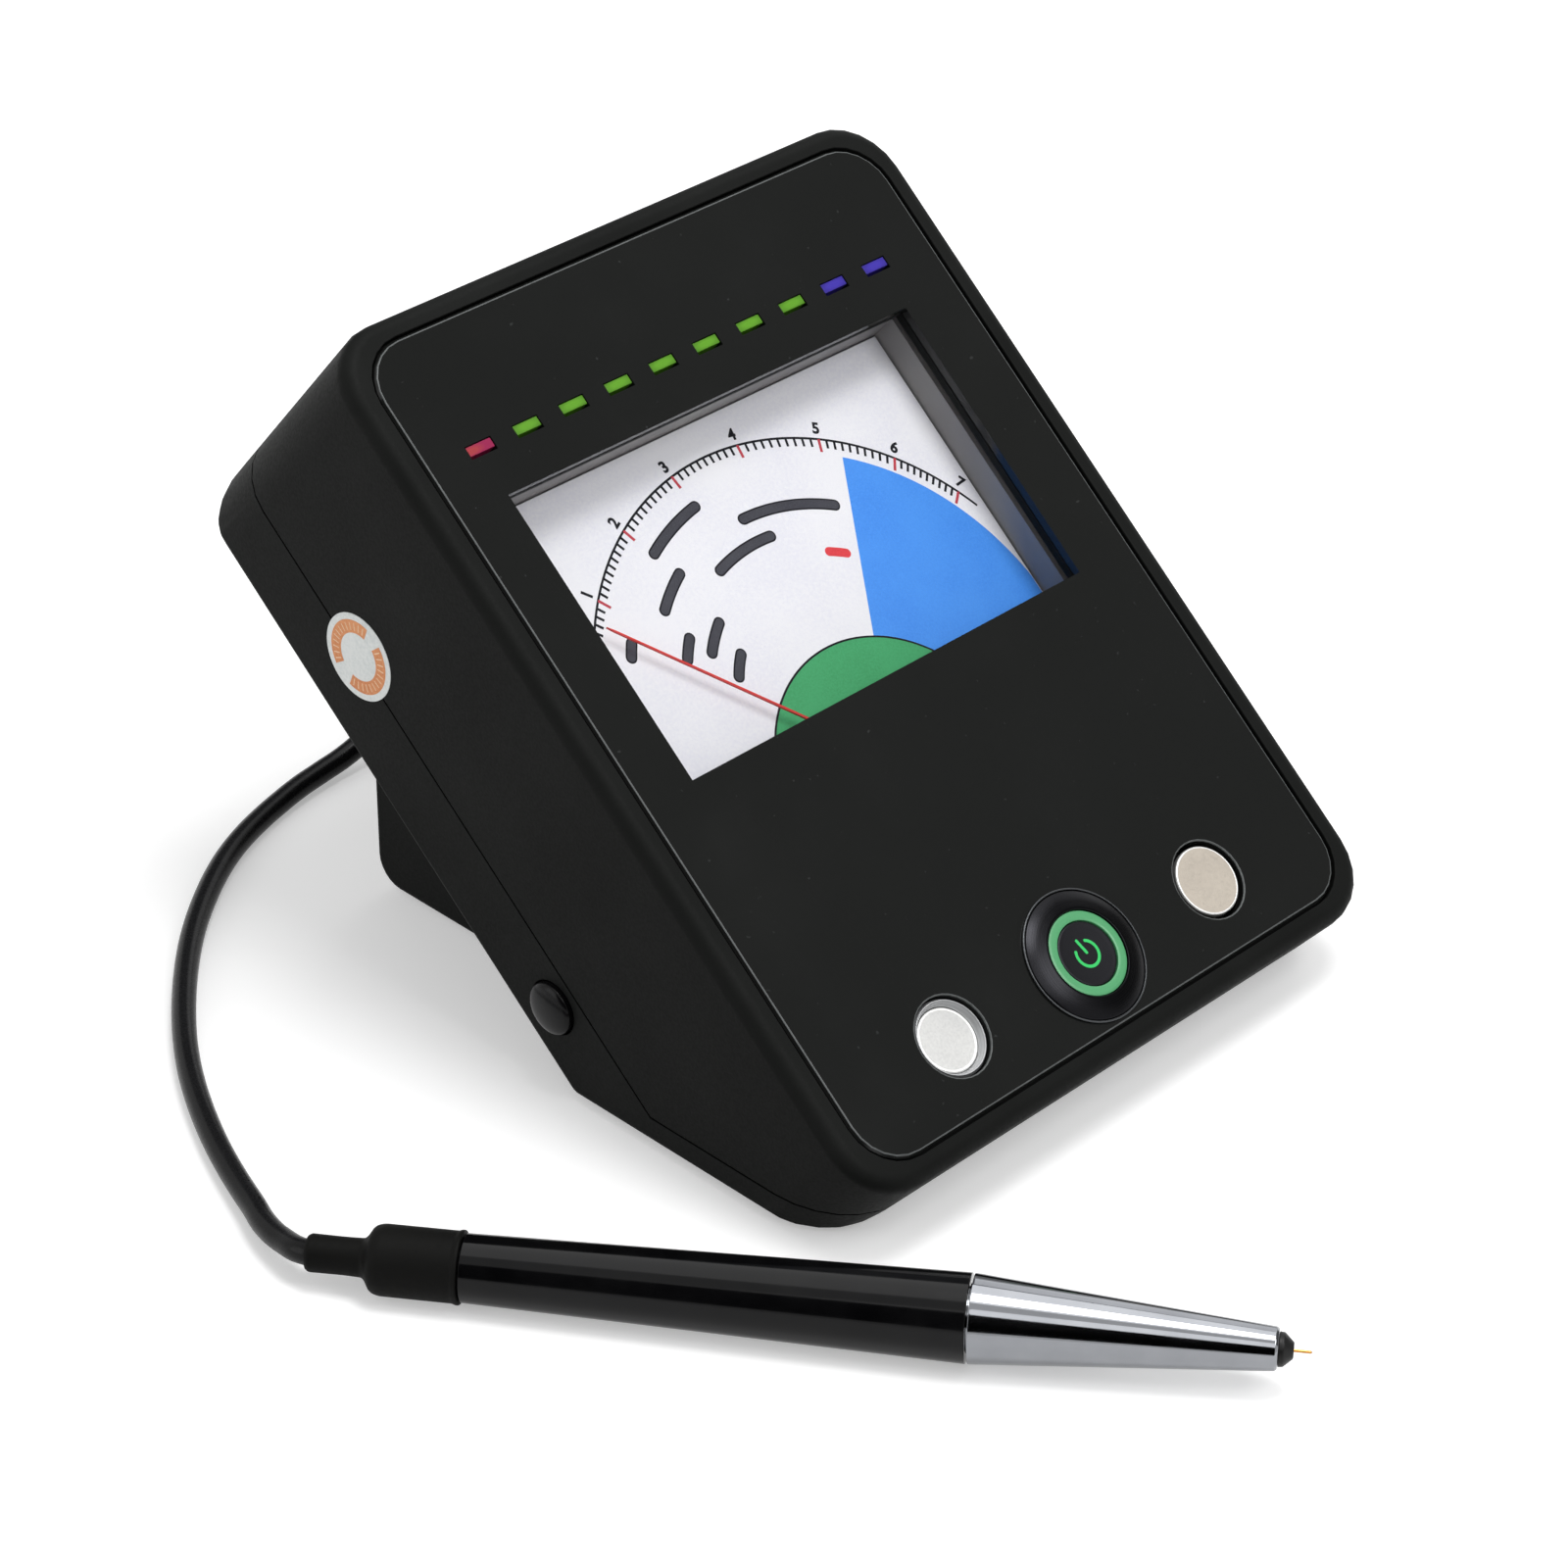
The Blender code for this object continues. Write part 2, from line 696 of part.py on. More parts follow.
def panel_openings(low, high):
    """Tools for what the panel and the wall behind it share: window, lamp slots and switch hole."""
    tools = [slab("window", window_outline(), low, high)]
    for u in lamp_places():
        outline = rectangle(LAMP_LENGTH + 2 * SLIM_GAP, LAMP_HEIGHT + 2 * SLIM_GAP, 0, (u, LAMP_V))
        tools.append(slab("slot", outline, low, high))
    hole = cylinder("hole", SWITCH_TUBE_RADIUS + GAP, low, high, ROUND_STEPS)
    tools.append(moved(hole, 0, CONTROLS_V))
    return tools


def front_shell(parent):
    """Front half of the housing, with the panel's recess, bosses and disc pockets."""
    shell = console_block("front_shell")
    keep(shell, front_region())
    cut(shell, console_cavity())
    groove = WALL - LIP_THICKNESS - GAP
    cut(shell, seam_band("groove", -OVERRUN, LIP_HEIGHT + GAP, groove))
    width = PANEL_WIDTH + 2 * PANEL_SIDE_GAP
    height = PANEL_HEIGHT + 2 * PANEL_SIDE_GAP
    recess = rectangle(width, height, PANEL_RADIUS + PANEL_SIDE_GAP)
    cut(shell, slab("recess", recess, -PANEL_RECESS, OVERRUN))
    root = -PANEL_RECESS - FRONT_WALL / 2
    boss_end = GAP - BOSS_MEETING_DEPTH
    pilot_end = SCREW_LENGTH + OVERRUN - SCREW_SEAT_DEPTH
    bosses = []
    openings = panel_openings(-INNER_FRONT - OVERRUN, OVERRUN)
    for u, v in screw_places():
        bosses.append(moved(cylinder("boss", BOSS_RADIUS, boss_end, root, POST_STEPS), u, v))
        bore = SCREW_SHANK_RADIUS + SLIM_GAP
        pilot = cylinder("pilot", bore, boss_end - OVERRUN, pilot_end, POST_STEPS)
        openings.append(moved(pilot, u, v))
    for side in (-1, 1):
        floor = -DISC_POCKET_DEPTH - DISC_BOSS_FLOOR
        boss = cylinder("boss", DISC_BOSS_RADIUS, floor, root, ROUND_STEPS)
        bosses.append(moved(boss, side * DISC_U, CONTROLS_V))
        pocket = cylinder("pocket", DISC_HOLE_RADIUS, -DISC_POCKET_DEPTH, OVERRUN, ROUND_STEPS)
        openings.append(moved(pocket, side * DISC_U, CONTROLS_V))
        post = cylinder("post", LAMP_POST_RADIUS, GAP - LAMP_BOARD_DEPTH, root, POST_STEPS)
        bosses.append(moved(post, WINDOW_U + side * lamp_post_reach(), LAMP_V))
    join(shell, *bosses)
    cut(shell, *openings)
    return seat(shell, parent, "fine_textured_black_abs")


def leg_profile(inset):
    """The rear leg seen from its side, in the panel's frame."""
    rear = LEG_REACH - inset
    root = tilted([(base_heel() - OVERRUN, inset)])[0]
    low = tilted([(rear, inset)])[0]
    shoulder_v = tilted([(LEG_REACH, LEG_WALL_HEIGHT)])[0][0] - inset
    shoulder_z = CENTRE_LIFT + (shoulder_v - rear * math.cos(TILT)) / math.sin(TILT)
    shoulder = tilted([(rear, shoulder_z)])[0]
    sunk = LEG_ROOT - CONSOLE_DEPTH
    corners = [root, low, shoulder, (shoulder_v, sunk), (root[0], sunk)]
    return rounded(corners, [0, LEG_CORNER_RADIUS - inset, LEG_SHOULDER_RADIUS - inset, 0, 0])


def base_heel():
    """How far back the sloped base reaches, over the base."""
    return (CONSOLE_DEPTH - CENTRE_LIFT * math.cos(TILT)) / math.sin(TILT)


def leg_cavity():
    """The room in the leg above the cells, open to the console."""
    floor = BAY_TOP + TRAY_WALL
    rear = LEG_REACH - WALL
    open_n = WALL + OVERRUN - CONSOLE_DEPTH
    front = ((floor - CENTRE_LIFT) * math.cos(TILT) - open_n) / math.sin(TILT)
    shoulder_v = tilted([(LEG_REACH, LEG_WALL_HEIGHT)])[0][0] - WALL
    shoulder_z = CENTRE_LIFT + (shoulder_v - rear * math.cos(TILT)) / math.sin(TILT)
    corners = tilted([(front, floor), (rear, floor), (rear, shoulder_z)])
    corners.append((shoulder_v, open_n))
    profile = rounded(corners, [0, 0, LEG_SHOULDER_RADIUS - WALL, 0])
    return side_slab("leg_room", profile, WALL - LEG_HALF_WIDTH, LEG_HALF_WIDTH - WALL)


def base_box(name, half_width, rear_low, rear_high, low, high):
    """A block over the base, in the panel's frame."""
    outline = [(rear_low, low), (rear_high, low), (rear_high, high), (rear_low, high)]
    return side_slab(name, tilted(outline), -half_width, half_width)


def tab_places():
    """Front end of each pair of the door's tabs."""
    return [BAY_FRONT + inset for inset in DOOR_TAB_INSETS]


def cut_door_seat(shell):
    """Cuts the door's opening, with the grooves that its tabs run in."""
    low = -OVERRUN
    far = LEG_REACH + OVERRUN
    top = DOOR_UPSTAND + GAP
    inner = LEG_REACH - DOOR_THICKNESS - GAP
    lift = DOOR_THICKNESS + GAP
    front = BAY_FRONT - DOOR_LEDGE
    corners = [(front, low), (far, low), (far, top), (inner, top), (inner, lift), (front, lift)]
    inner_radius = LEG_CORNER_RADIUS - DOOR_THICKNESS - GAP
    outline = rounded(corners, [0, 0, 0, 0, inner_radius, 0])
    half = DOOR_HALF_WIDTH + GAP
    cut(shell, side_slab("door_seat", tilted(outline), -half, half))
    groove_half = half + DOOR_TAB_REACH
    groove_low = DOOR_TAB_LIFT - GAP
    groove_high = DOOR_TAB_LIFT + DOOR_TAB_THICKNESS + GAP
    for place in tab_places():
        start = place - GAP
        end = place + DOOR_TAB_LENGTH + DOOR_TRAVEL + GAP
        drop = end - DOOR_TAB_LENGTH - 2 * GAP
        groove = [
            (start, groove_low),
            (drop, groove_low),
            (drop, low),
            (end, low),
            (end, groove_high),
            (start, groove_high),
        ]
        cut(shell, side_slab("groove", tilted(groove), -groove_half, groove_half))


def foot_places():
    """(x, y) of the four feet over the base."""
    front = [(side * FRONT_FEET_X, FRONT_FEET_Y) for side in (-1, 1)]
    return front + [(side * REAR_FEET_X, LEG_REACH - REAR_FEET_INSET) for side in (-1, 1)]


def back_shell(parent):
    """Back half of the housing with the rear leg, battery tray and bosses."""
    shell = console_block("back_shell")
    keep(shell, back_region())
    rim = WALL - LIP_THICKNESS
    join(shell, seam_band("lip", -LIP_ROOT, LIP_HEIGHT, rim))
    join(shell, edged_side_slab("leg", leg_profile, LEG_HALF_WIDTH, LEG_EDGE_RADIUS, 0))
    cut(shell, console_cavity())
    cut(shell, leg_cavity())
    tray_front = BAY_FRONT - TRAY_WALL
    tray_half = BAY_HALF_WIDTH + TRAY_WALL
    tray = base_box("tray", tray_half, tray_front, BAY_REAR, WALL / 2, BAY_TOP + TRAY_WALL)
    join(shell, tray)
    cut(shell, base_box("bay", BAY_HALF_WIDTH, BAY_FRONT, BAY_REAR, -OVERRUN, BAY_TOP))
    cut_door_seat(shell)
    root = WALL / 2 - CONSOLE_DEPTH
    bosses = []
    holes = []
    for u, v in screw_places():
        bosses.append(moved(cylinder("boss", BACK_BOSS_RADIUS, root, -BOSS_MEETING_DEPTH), u, v))
        holes.append(moved(screw_hole(), u, v))
    for u, v in board_post_places():
        post_top = -MAIN_BOARD_DEPTH - BOARD_THICKNESS - GAP
        post = cylinder("post", BOARD_POST_RADIUS, root, post_top, POST_STEPS)
        bosses.append(moved(post, u, v))
    knob_hole = cylinder("hole", KNOB_RADIUS + GAP, -WALL - OVERRUN, OVERRUN, ROUND_STEPS)
    holes.append(facing_left(knob_hole))
    grommet_hole = cylinder("hole", GROMMET_NECK_RADIUS + GAP, -WALL - OVERRUN, OVERRUN)
    holes.append(on_base(along_y(grommet_hole, CORD_EXIT_X, LEG_REACH, CORD_EXIT_HEIGHT)))
    for x, y in foot_places():
        pocket = cylinder("pocket", FOOT_RADIUS + GAP, -OVERRUN, FOOT_POCKET)
        holes.append(on_base(moved(pocket, x, y)))
    join(shell, *bosses)
    cut(shell, *holes)
    return seat(shell, parent, "fine_textured_black_abs")


def screw_hole():
    """A screw's clearance hole with its counterbore from the back."""
    head = SCREW_HEAD_RADIUS + GAP
    bore = SCREW_SHANK_RADIUS + GAP
    profile = [
        (0, -CONSOLE_DEPTH - OVERRUN),
        (head, -CONSOLE_DEPTH - OVERRUN),
        (head, -SCREW_SEAT_DEPTH),
        (bore, -SCREW_SEAT_DEPTH),
        (bore, OVERRUN - BOSS_MEETING_DEPTH),
        (0, OVERRUN - BOSS_MEETING_DEPTH),
    ]
    return turned("screw_hole", profile, SMALL_ROUND_STEPS)


def battery_door(parent):
    """Door under the leg: it wraps the rear corner and is held by four tabs."""
    front = BAY_FRONT - DOOR_LEDGE + GAP
    inner = LEG_REACH - DOOR_THICKNESS
    corners = [
        (front, 0),
        (LEG_REACH, 0),
        (LEG_REACH, DOOR_UPSTAND),
        (inner, DOOR_UPSTAND),
        (inner, DOOR_THICKNESS),
        (front, DOOR_THICKNESS),
    ]
    outline = rounded(corners, [0, LEG_CORNER_RADIUS, 0, 0, LEG_CORNER_RADIUS - DOOR_THICKNESS, 0])
    door = side_slab("battery_door", outline, -DOOR_HALF_WIDTH, DOOR_HALF_WIDTH)
    top = DOOR_TAB_LIFT + DOOR_TAB_THICKNESS
    for place in tab_places():
        for side in (-1, 1):
            root = side * (DOOR_HALF_WIDTH - DOOR_TAB_REACH)
            tip = side * (DOOR_HALF_WIDTH + DOOR_TAB_REACH)
            tab = span(*sorted((root, tip)), place, place + DOOR_TAB_LENGTH)
            join(door, slab("tab", tab, DOOR_TAB_LIFT, top))
    for k in range(GRIP_COUNT):
        y = LEG_REACH - GRIP_INSET + GRIP_PITCH * (k - (GRIP_COUNT - 1) / 2)
        groove = rectangle(GRIP_LENGTH, GRIP_WIDTH, 0, (0, y))
        cut(door, slab("grip", groove, -OVERRUN, GRIP_DEPTH))
    return seat(door, parent, "fine_textured_black_abs")


def feet(parent):
    """Four round rubber feet, set in shallow pockets."""
    for k, (x, y) in enumerate(foot_places(), 1):
        profile = [
            (0, -FOOT_PROUD),
            (FOOT_RADIUS - FOOT_CHAMFER, -FOOT_PROUD),
            (FOOT_RADIUS, FOOT_CHAMFER - FOOT_PROUD),
            (FOOT_RADIUS, FOOT_POCKET - GAP),
            (0, FOOT_POCKET - GAP),
        ]
        foot = turned(f"foot_{k}", profile, SMALL_ROUND_STEPS)
        seat(foot, parent, "black_rubber", location=(x, y, 0))


def housing_screws(parent):
    """Four screws from the back, with crossed recesses."""
    for k, (u, v) in enumerate(screw_places(), 1):
        profile = [
            (0, SCREW_LENGTH),
            (SCREW_SHANK_RADIUS, SCREW_LENGTH - SCREW_SHANK_RADIUS),
            (SCREW_SHANK_RADIUS, 0),
            (SCREW_HEAD_RADIUS, 0),
            (SCREW_HEAD_RADIUS, -SCREW_HEAD_HEIGHT),
            (0, -SCREW_HEAD_HEIGHT),
        ]
        screw = turned(f"housing_screw_{k}", profile, SMALL_ROUND_STEPS)
        for width, height in ((1, SCREW_SLOT_SHARE), (SCREW_SLOT_SHARE, 1)):
            slot = rectangle(2 * SCREW_RECESS * width, 2 * SCREW_RECESS * height)
            low = -SCREW_HEAD_HEIGHT - OVERRUN
            cut(screw, slab("recess", slot, low, SCREW_RECESS_DEPTH - SCREW_HEAD_HEIGHT))
        seat(screw, parent, "steel", location=(u, v, -SCREW_SEAT_DEPTH - GAP))


# Panel, lamps, switch and discs


def front_panel(parent):
    """Flat black panel plate with a chamfered edge and its openings."""
    rings = []
    for inset, depth in ((0, PANEL_THICKNESS), (0, PANEL_CHAMFER), (PANEL_CHAMFER, 0)):
        width = PANEL_WIDTH - 2 * inset
        height = PANEL_HEIGHT - 2 * inset
        rings.append(level(rectangle(width, height, PANEL_RADIUS - inset), -depth))
    panel = loft("front_panel", rings)
    low = -PANEL_THICKNESS - OVERRUN
    openings = panel_openings(low, OVERRUN)
    for side in (-1, 1):
        hole = cylinder("hole", DISC_HOLE_RADIUS, low, OVERRUN, ROUND_STEPS)
        openings.append(moved(hole, side * DISC_U, CONTROLS_V))
    cut(panel, *openings)
    return seat(panel, parent, "gloss_black_panel")


def lamp_name(k):
    """The lamps from left to right: one red, seven green and two blue."""
    if k == 0:
        return "led_red", "red_lamp"
    if k > LAMP_COUNT - 3:
        return f"led_blue_{k - LAMP_COUNT + 3}", "blue_lamp"
    return f"led_green_{k}", "green_lamp"


def lamps(parent):
    """Ten bar lamps, each with a flange behind the housing wall."""
    for k, u in enumerate(lamp_places()):
        name, look = lamp_name(k)
        lamp = slab(name, rectangle(LAMP_LENGTH, LAMP_HEIGHT), -lamp_depth(), -LAMP_SUNK)
        outline = rectangle(LAMP_LENGTH + 2 * LAMP_FLANGE, LAMP_HEIGHT + 2 * LAMP_FLANGE)
        join(lamp, slab("flange", outline, -lamp_depth(), -INNER_FRONT - GAP))
        seat(lamp, parent, look, location=(u, LAMP_V, 0))


def lamp_depth():
    """How deep the lamps reach, down to their board."""
    return LAMP_BOARD_DEPTH - GAP


def lamp_post_reach():
    """Distance from the lamp row's middle to the post at each end of its board."""
    return LAMP_PITCH * (LAMP_COUNT - 1) / 2 + LAMP_LENGTH / 2 + LAMP_BOARD_MARGIN


def lamp_board(parent):
    """Circuit board behind the lamps."""
    width = 2 * (lamp_post_reach() + LAMP_POST_RADIUS)
    outline = rectangle(width, LAMP_BOARD_HEIGHT)
    board = slab("led_board", outline, -LAMP_BOARD_DEPTH - BOARD_THICKNESS, -LAMP_BOARD_DEPTH)
    return seat(board, parent, "green_circuit_board", location=(WINDOW_U, lamp_board_v(), 0))


def lamp_board_v():
    """v of the lamp board's middle, clear of the meter case below it."""
    return METER_TOP + METER_WALL + GAP + LAMP_BOARD_HEIGHT / 2


def switch_bezel(parent):
    """Conical bezel with its threaded tube."""
    ring_bore = SWITCH_RING_OUTER + SLIM_GAP
    profile = [
        (SWITCH_TUBE_BORE, -SWITCH_TUBE_DEPTH),
        (SWITCH_TUBE_RADIUS, -SWITCH_TUBE_DEPTH),
        (SWITCH_TUBE_RADIUS, SLIM_GAP),
        (SWITCH_FLANGE_RADIUS, SLIM_GAP),
        (SWITCH_FLANGE_RADIUS, SLIM_GAP + SWITCH_FLANGE_EDGE),
        (ring_bore + SWITCH_FLANGE_EDGE, SWITCH_FLANGE_TOP),
        (ring_bore, SWITCH_FLANGE_TOP),
        (ring_bore, -SWITCH_RING_DEPTH - GAP),
        (SWITCH_TUBE_BORE, -SWITCH_RING_DEPTH - GAP),
    ]
    return seat(turned("power_bezel", profile), parent, "anodised_black", location=(0, CONTROLS_V, 0))


def switch_ring(parent):
    """Lit ring round the actuator."""
    profile = [
        (SWITCH_RING_INNER, -SWITCH_RING_DEPTH),
        (SWITCH_RING_OUTER, -SWITCH_RING_DEPTH),
        (SWITCH_RING_OUTER, SWITCH_RING_TOP),
        (SWITCH_RING_INNER, SWITCH_RING_TOP),
    ]
    return seat(turned("power_ring", profile), parent, "green_ring", location=(0, CONTROLS_V, 0))


def switch_actuator(parent):
    """The cap that is pressed."""
    radius = SWITCH_RING_INNER - SLIM_GAP
    profile = [
        (0, -ACTUATOR_DEPTH),
        (radius, -ACTUATOR_DEPTH),
        (radius, ACTUATOR_TOP - ACTUATOR_EDGE),
        (radius - ACTUATOR_EDGE, ACTUATOR_TOP),
        (0, ACTUATOR_TOP),
    ]
    cap = turned("power_actuator", profile)
    return seat(cap, parent, "anodised_black", location=(0, CONTROLS_V, 0))


def switch_nut(parent):
    """Hexagon nut that holds the switch from behind."""
    turns = [math.tau * k / NUT_SIDES for k in range(NUT_SIDES)]
    outline = [(NUT_CORNER_RADIUS * math.cos(a), NUT_CORNER_RADIUS * math.sin(a)) for a in turns]
    top = -INNER_FRONT - GAP
    nut = slab("power_nut", outline, top - NUT_HEIGHT, top)
    bore = SWITCH_TUBE_RADIUS + GAP
    cut(nut, cylinder("bore", bore, top - NUT_HEIGHT - OVERRUN, top + OVERRUN, ROUND_STEPS))
    return seat(nut, parent, "steel", location=(0, CONTROLS_V, 0))


def switch_block(parent):
    """Contact block behind the switch tube, with three pins."""
    stop = -ACTUATOR_DEPTH - ACTUATOR_TRAVEL - GAP
    top = -SWITCH_TUBE_DEPTH - GAP
    low = top - SWITCH_BLOCK_LENGTH
    profile = [
        (0, low),
        (SWITCH_BLOCK_RADIUS, low),
        (SWITCH_BLOCK_RADIUS, top),
        (SWITCH_TUBE_BORE - GAP, top),
        (SWITCH_TUBE_BORE - GAP, stop),
        (0, stop),
    ]
    block = turned("switch_block", profile, SMALL_ROUND_STEPS)
    for k in range(SWITCH_PIN_COUNT):
        u = SWITCH_PIN_PITCH * (k - (SWITCH_PIN_COUNT - 1) / 2)
        outline = rectangle(SWITCH_PIN_THICKNESS, SWITCH_PIN_WIDTH, 0, (u, 0))
        join(block, slab("pin", outline, low - SWITCH_PIN_LENGTH, low + SWITCH_PIN_LENGTH))
    return seat(block, parent, "black_insulator", location=(0, CONTROLS_V, 0))


def reference_discs(parent):
    """The flat disc on the right, and the one in a metal cup on the left."""
    base = GAP - DISC_POCKET_DEPTH
    flat = [
        (0, base),
        (DISC_RADIUS, base),
        (DISC_RADIUS, -DIAMOND_DISC_SUNK - DISC_CHAMFER),
        (DISC_RADIUS - DISC_CHAMFER, -DIAMOND_DISC_SUNK),
        (0, -DIAMOND_DISC_SUNK),
    ]
    seat(turned("diamond_disc", flat), parent, "brushed_disc", location=(DISC_U, CONTROLS_V, 0))
    floor = -SIMULANT_DISC_SUNK - SIMULANT_DISC_THICKNESS
    plain = [
        (0, floor),
        (DISC_RADIUS, floor),
        (DISC_RADIUS, -SIMULANT_DISC_SUNK - DISC_CHAMFER),
        (DISC_RADIUS - DISC_CHAMFER, -SIMULANT_DISC_SUNK),
        (0, -SIMULANT_DISC_SUNK),
    ]
    seat(turned("simulant_disc", plain), parent, "pale_disc", location=(-DISC_U, CONTROLS_V, 0))
    bore = DISC_RADIUS + SLIM_GAP
    cup = [
        (0, base),
        (bore + CUP_WALL, base),
        (bore + CUP_WALL, -CUP_SUNK),
        (bore, -CUP_SUNK),
        (bore, floor - GAP),
        (0, floor - GAP),
    ]
    seat(turned("simulant_cup", cup), parent, "steel", location=(-DISC_U, CONTROLS_V, 0))


# Calibration knob


def facing_left(body):
    """Turns a shape drawn along Z to point out of the left wall at the knob's place."""
    turn = Matrix.Rotation(-math.pi / 2, 4, "Y")
    body.data.transform(Matrix.Translation((-HALF_WIDTH, KNOB_V, -KNOB_DEPTH)) @ turn)
    return body


def calibration_knob(parent):
    """Domed knob that turns the potentiometer."""
    inner = GAP - WALL
    bore = POT_SHAFT_RADIUS + GAP
    profile = [(0, inner + KNOB_BORE_DEPTH), (bore, inner + KNOB_BORE_DEPTH), (bore, inner)]
    profile += [(KNOB_RADIUS, inner), (KNOB_RADIUS, KNOB_PROUD)]
    for k in range(1, KNOB_STEPS + 1):
        angle = math.pi / 2 * k / KNOB_STEPS
        height = KNOB_PROUD + KNOB_DOME * math.sin(angle)
        profile.append((KNOB_RADIUS * math.cos(angle) if k < KNOB_STEPS else 0, height))
    knob = turned("cal_knob", profile, SMALL_ROUND_STEPS)
    place = (-HALF_WIDTH, KNOB_V, -KNOB_DEPTH)
    return seat(knob, parent, "gloss_black_barrel", location=place, rotation=(0, -math.pi / 2, 0))


def potentiometer(parent):
    """Square potentiometer behind the knob."""
    top = -WALL - GAP
    body = slab("cal_pot", rectangle(POT_SIDE, POT_SIDE), top - POT_LENGTH, top)
    stub = top + KNOB_BORE_DEPTH
    join(body, cylinder("stub", POT_SHAFT_RADIUS, top - POT_LENGTH / 2, stub))
    place = (-HALF_WIDTH, KNOB_V, -KNOB_DEPTH)
    return seat(body, parent, "sprung_contact", location=place, rotation=(0, -math.pi / 2, 0))


# Meter


def meter_case(parent):
    """Moulded case: a tray behind the window, and a tub for the movement."""
    floor = -METER_FLOOR
    outline = span(METER_LEFT, METER_RIGHT, METER_FLOOR_V, METER_TOP)
    low_v = METER_FLOOR_V - METER_WALL
    shell = span(METER_LEFT - METER_WALL, METER_RIGHT + METER_WALL, low_v, METER_TOP + METER_WALL)
    case = slab("meter_case", shell, floor - METER_WALL, -METER_FRONT)
    tub_end = -TUB_DEPTH - TUB_WALL
    tub_radius = TUB_INNER + TUB_WALL
    tub = cylinder("tub", tub_radius, tub_end, floor - METER_WALL / 2, HIDDEN_ROUND_STEPS)
    join(case, moved(tub, PIVOT_U, PIVOT_V))
    cut(case, slab("tray", outline, floor, OVERRUN))
    rebate_low = METER_FLOOR_V - METER_REBATE
    sides = (METER_LEFT - METER_REBATE, METER_RIGHT + METER_REBATE)
    rebate = span(*sides, rebate_low, METER_TOP + METER_REBATE)
    cut(case, slab("rebate", rebate, -METER_FRONT - LENS_THICKNESS - GAP, OVERRUN))
    bore = TUB_INNER - TUB_LEDGE
    room = [
        (0, -TUB_DEPTH),
        (bore, -TUB_DEPTH),
        (bore, -CORE_END - GAP),
        (TUB_INNER, -CORE_END - GAP),
        (TUB_INNER, floor + OVERRUN),
        (0, floor + OVERRUN),
    ]
    cut(case, moved(turned("room", room, HIDDEN_ROUND_STEPS), PIVOT_U, PIVOT_V))
    socket = cylinder("socket", STAFF_RADIUS + GAP, -TUB_DEPTH - BEARING_DEPTH, OVERRUN - TUB_DEPTH)
    cut(case, moved(socket, PIVOT_U, PIVOT_V))
    return seat(case, parent, "grey_case")


def meter_lens(parent):
    """Clear sheet in the case's rebate."""
    side = METER_REBATE - GAP
    low_v = METER_FLOOR_V - side
    outline = span(METER_LEFT - side, METER_RIGHT + side, low_v, METER_TOP + side)
    lens = slab("meter_lens", outline, -METER_FRONT - LENS_THICKNESS, -METER_FRONT)
    return seat(lens, parent, "clear_lens")


def dial_plate(parent):
    """White scale plate, with a hole for the needle's staff."""
    low_v = METER_FLOOR_V + GAP
    outline = span(METER_LEFT + GAP, METER_RIGHT - GAP, low_v, METER_TOP - GAP)
    plate = slab("dial_plate", outline, -DIAL_DEPTH - DIAL_THICKNESS, -DIAL_DEPTH)
    hole = cylinder("hole", DIAL_HOLE_RADIUS, -DIAL_DEPTH - OVERRUN, OVERRUN - DIAL_DEPTH)
    cut(plate, moved(hole, PIVOT_U, PIVOT_V))
    return seat(plate, parent, "white_dial")


def needle(parent):
    """Pointer on its hub, with a counterweight tail. Its origin is on the pivot."""
    root = NEEDLE_ROOT_WIDTH / 2
    tip = NEEDLE_TIP_WIDTH / 2
    tail = NEEDLE_TAIL_WIDTH / 2
    outline = [
        (NEEDLE_LENGTH, tip),
        (0, root),
        (-NEEDLE_HUB_RADIUS, root),
        (-NEEDLE_HUB_RADIUS, tail),
        (-NEEDLE_TAIL_LENGTH, tail),
    ]
    outline += [(x, -y) for x, y in reversed(outline)]
    blade = slab("needle", outline, -NEEDLE_DEPTH - NEEDLE_THICKNESS, -NEEDLE_DEPTH)
    middle = -NEEDLE_DEPTH - NEEDLE_THICKNESS / 2
    low = middle - NEEDLE_HUB_HALF_HEIGHT
    high = middle + NEEDLE_HUB_HALF_HEIGHT
    join(blade, cylinder("hub", NEEDLE_HUB_RADIUS, low, high))
    cut(blade, cylinder("bore", STAFF_RADIUS + GAP, low - OVERRUN, high + OVERRUN))
    place = (PIVOT_U, PIVOT_V, 0)
    return seat(blade, parent, "red_needle", location=place, rotation=(0, 0, NEEDLE_REST))


def moving_coil(parent):
    """Rectangular coil round the core, on its staff."""
    outer = span(-COIL_OUTER, COIL_OUTER, -COIL_WIDTH / 2, COIL_WIDTH / 2)
    coil = slab("moving_coil", outer, -COIL_END, -COIL_TOP)
    inner = span(-COIL_INNER, COIL_INNER, -COIL_WIDTH, COIL_WIDTH)
    cut(coil, slab("inside", inner, COIL_WIRE - COIL_END, -COIL_TOP - COIL_WIRE))
    join(coil, cylinder("staff", STAFF_RADIUS, -COIL_TOP - COIL_WIRE / 2, -STAFF_TOP_DEPTH))
    foot = -TUB_DEPTH - BEARING_DEPTH + GAP
    join(coil, cylinder("foot", STAFF_RADIUS, foot, COIL_WIRE / 2 - COIL_END))
    place = (PIVOT_U, PIVOT_V, 0)
    return seat(coil, parent, "copper_winding", location=place, rotation=(0, 0, NEEDLE_REST))


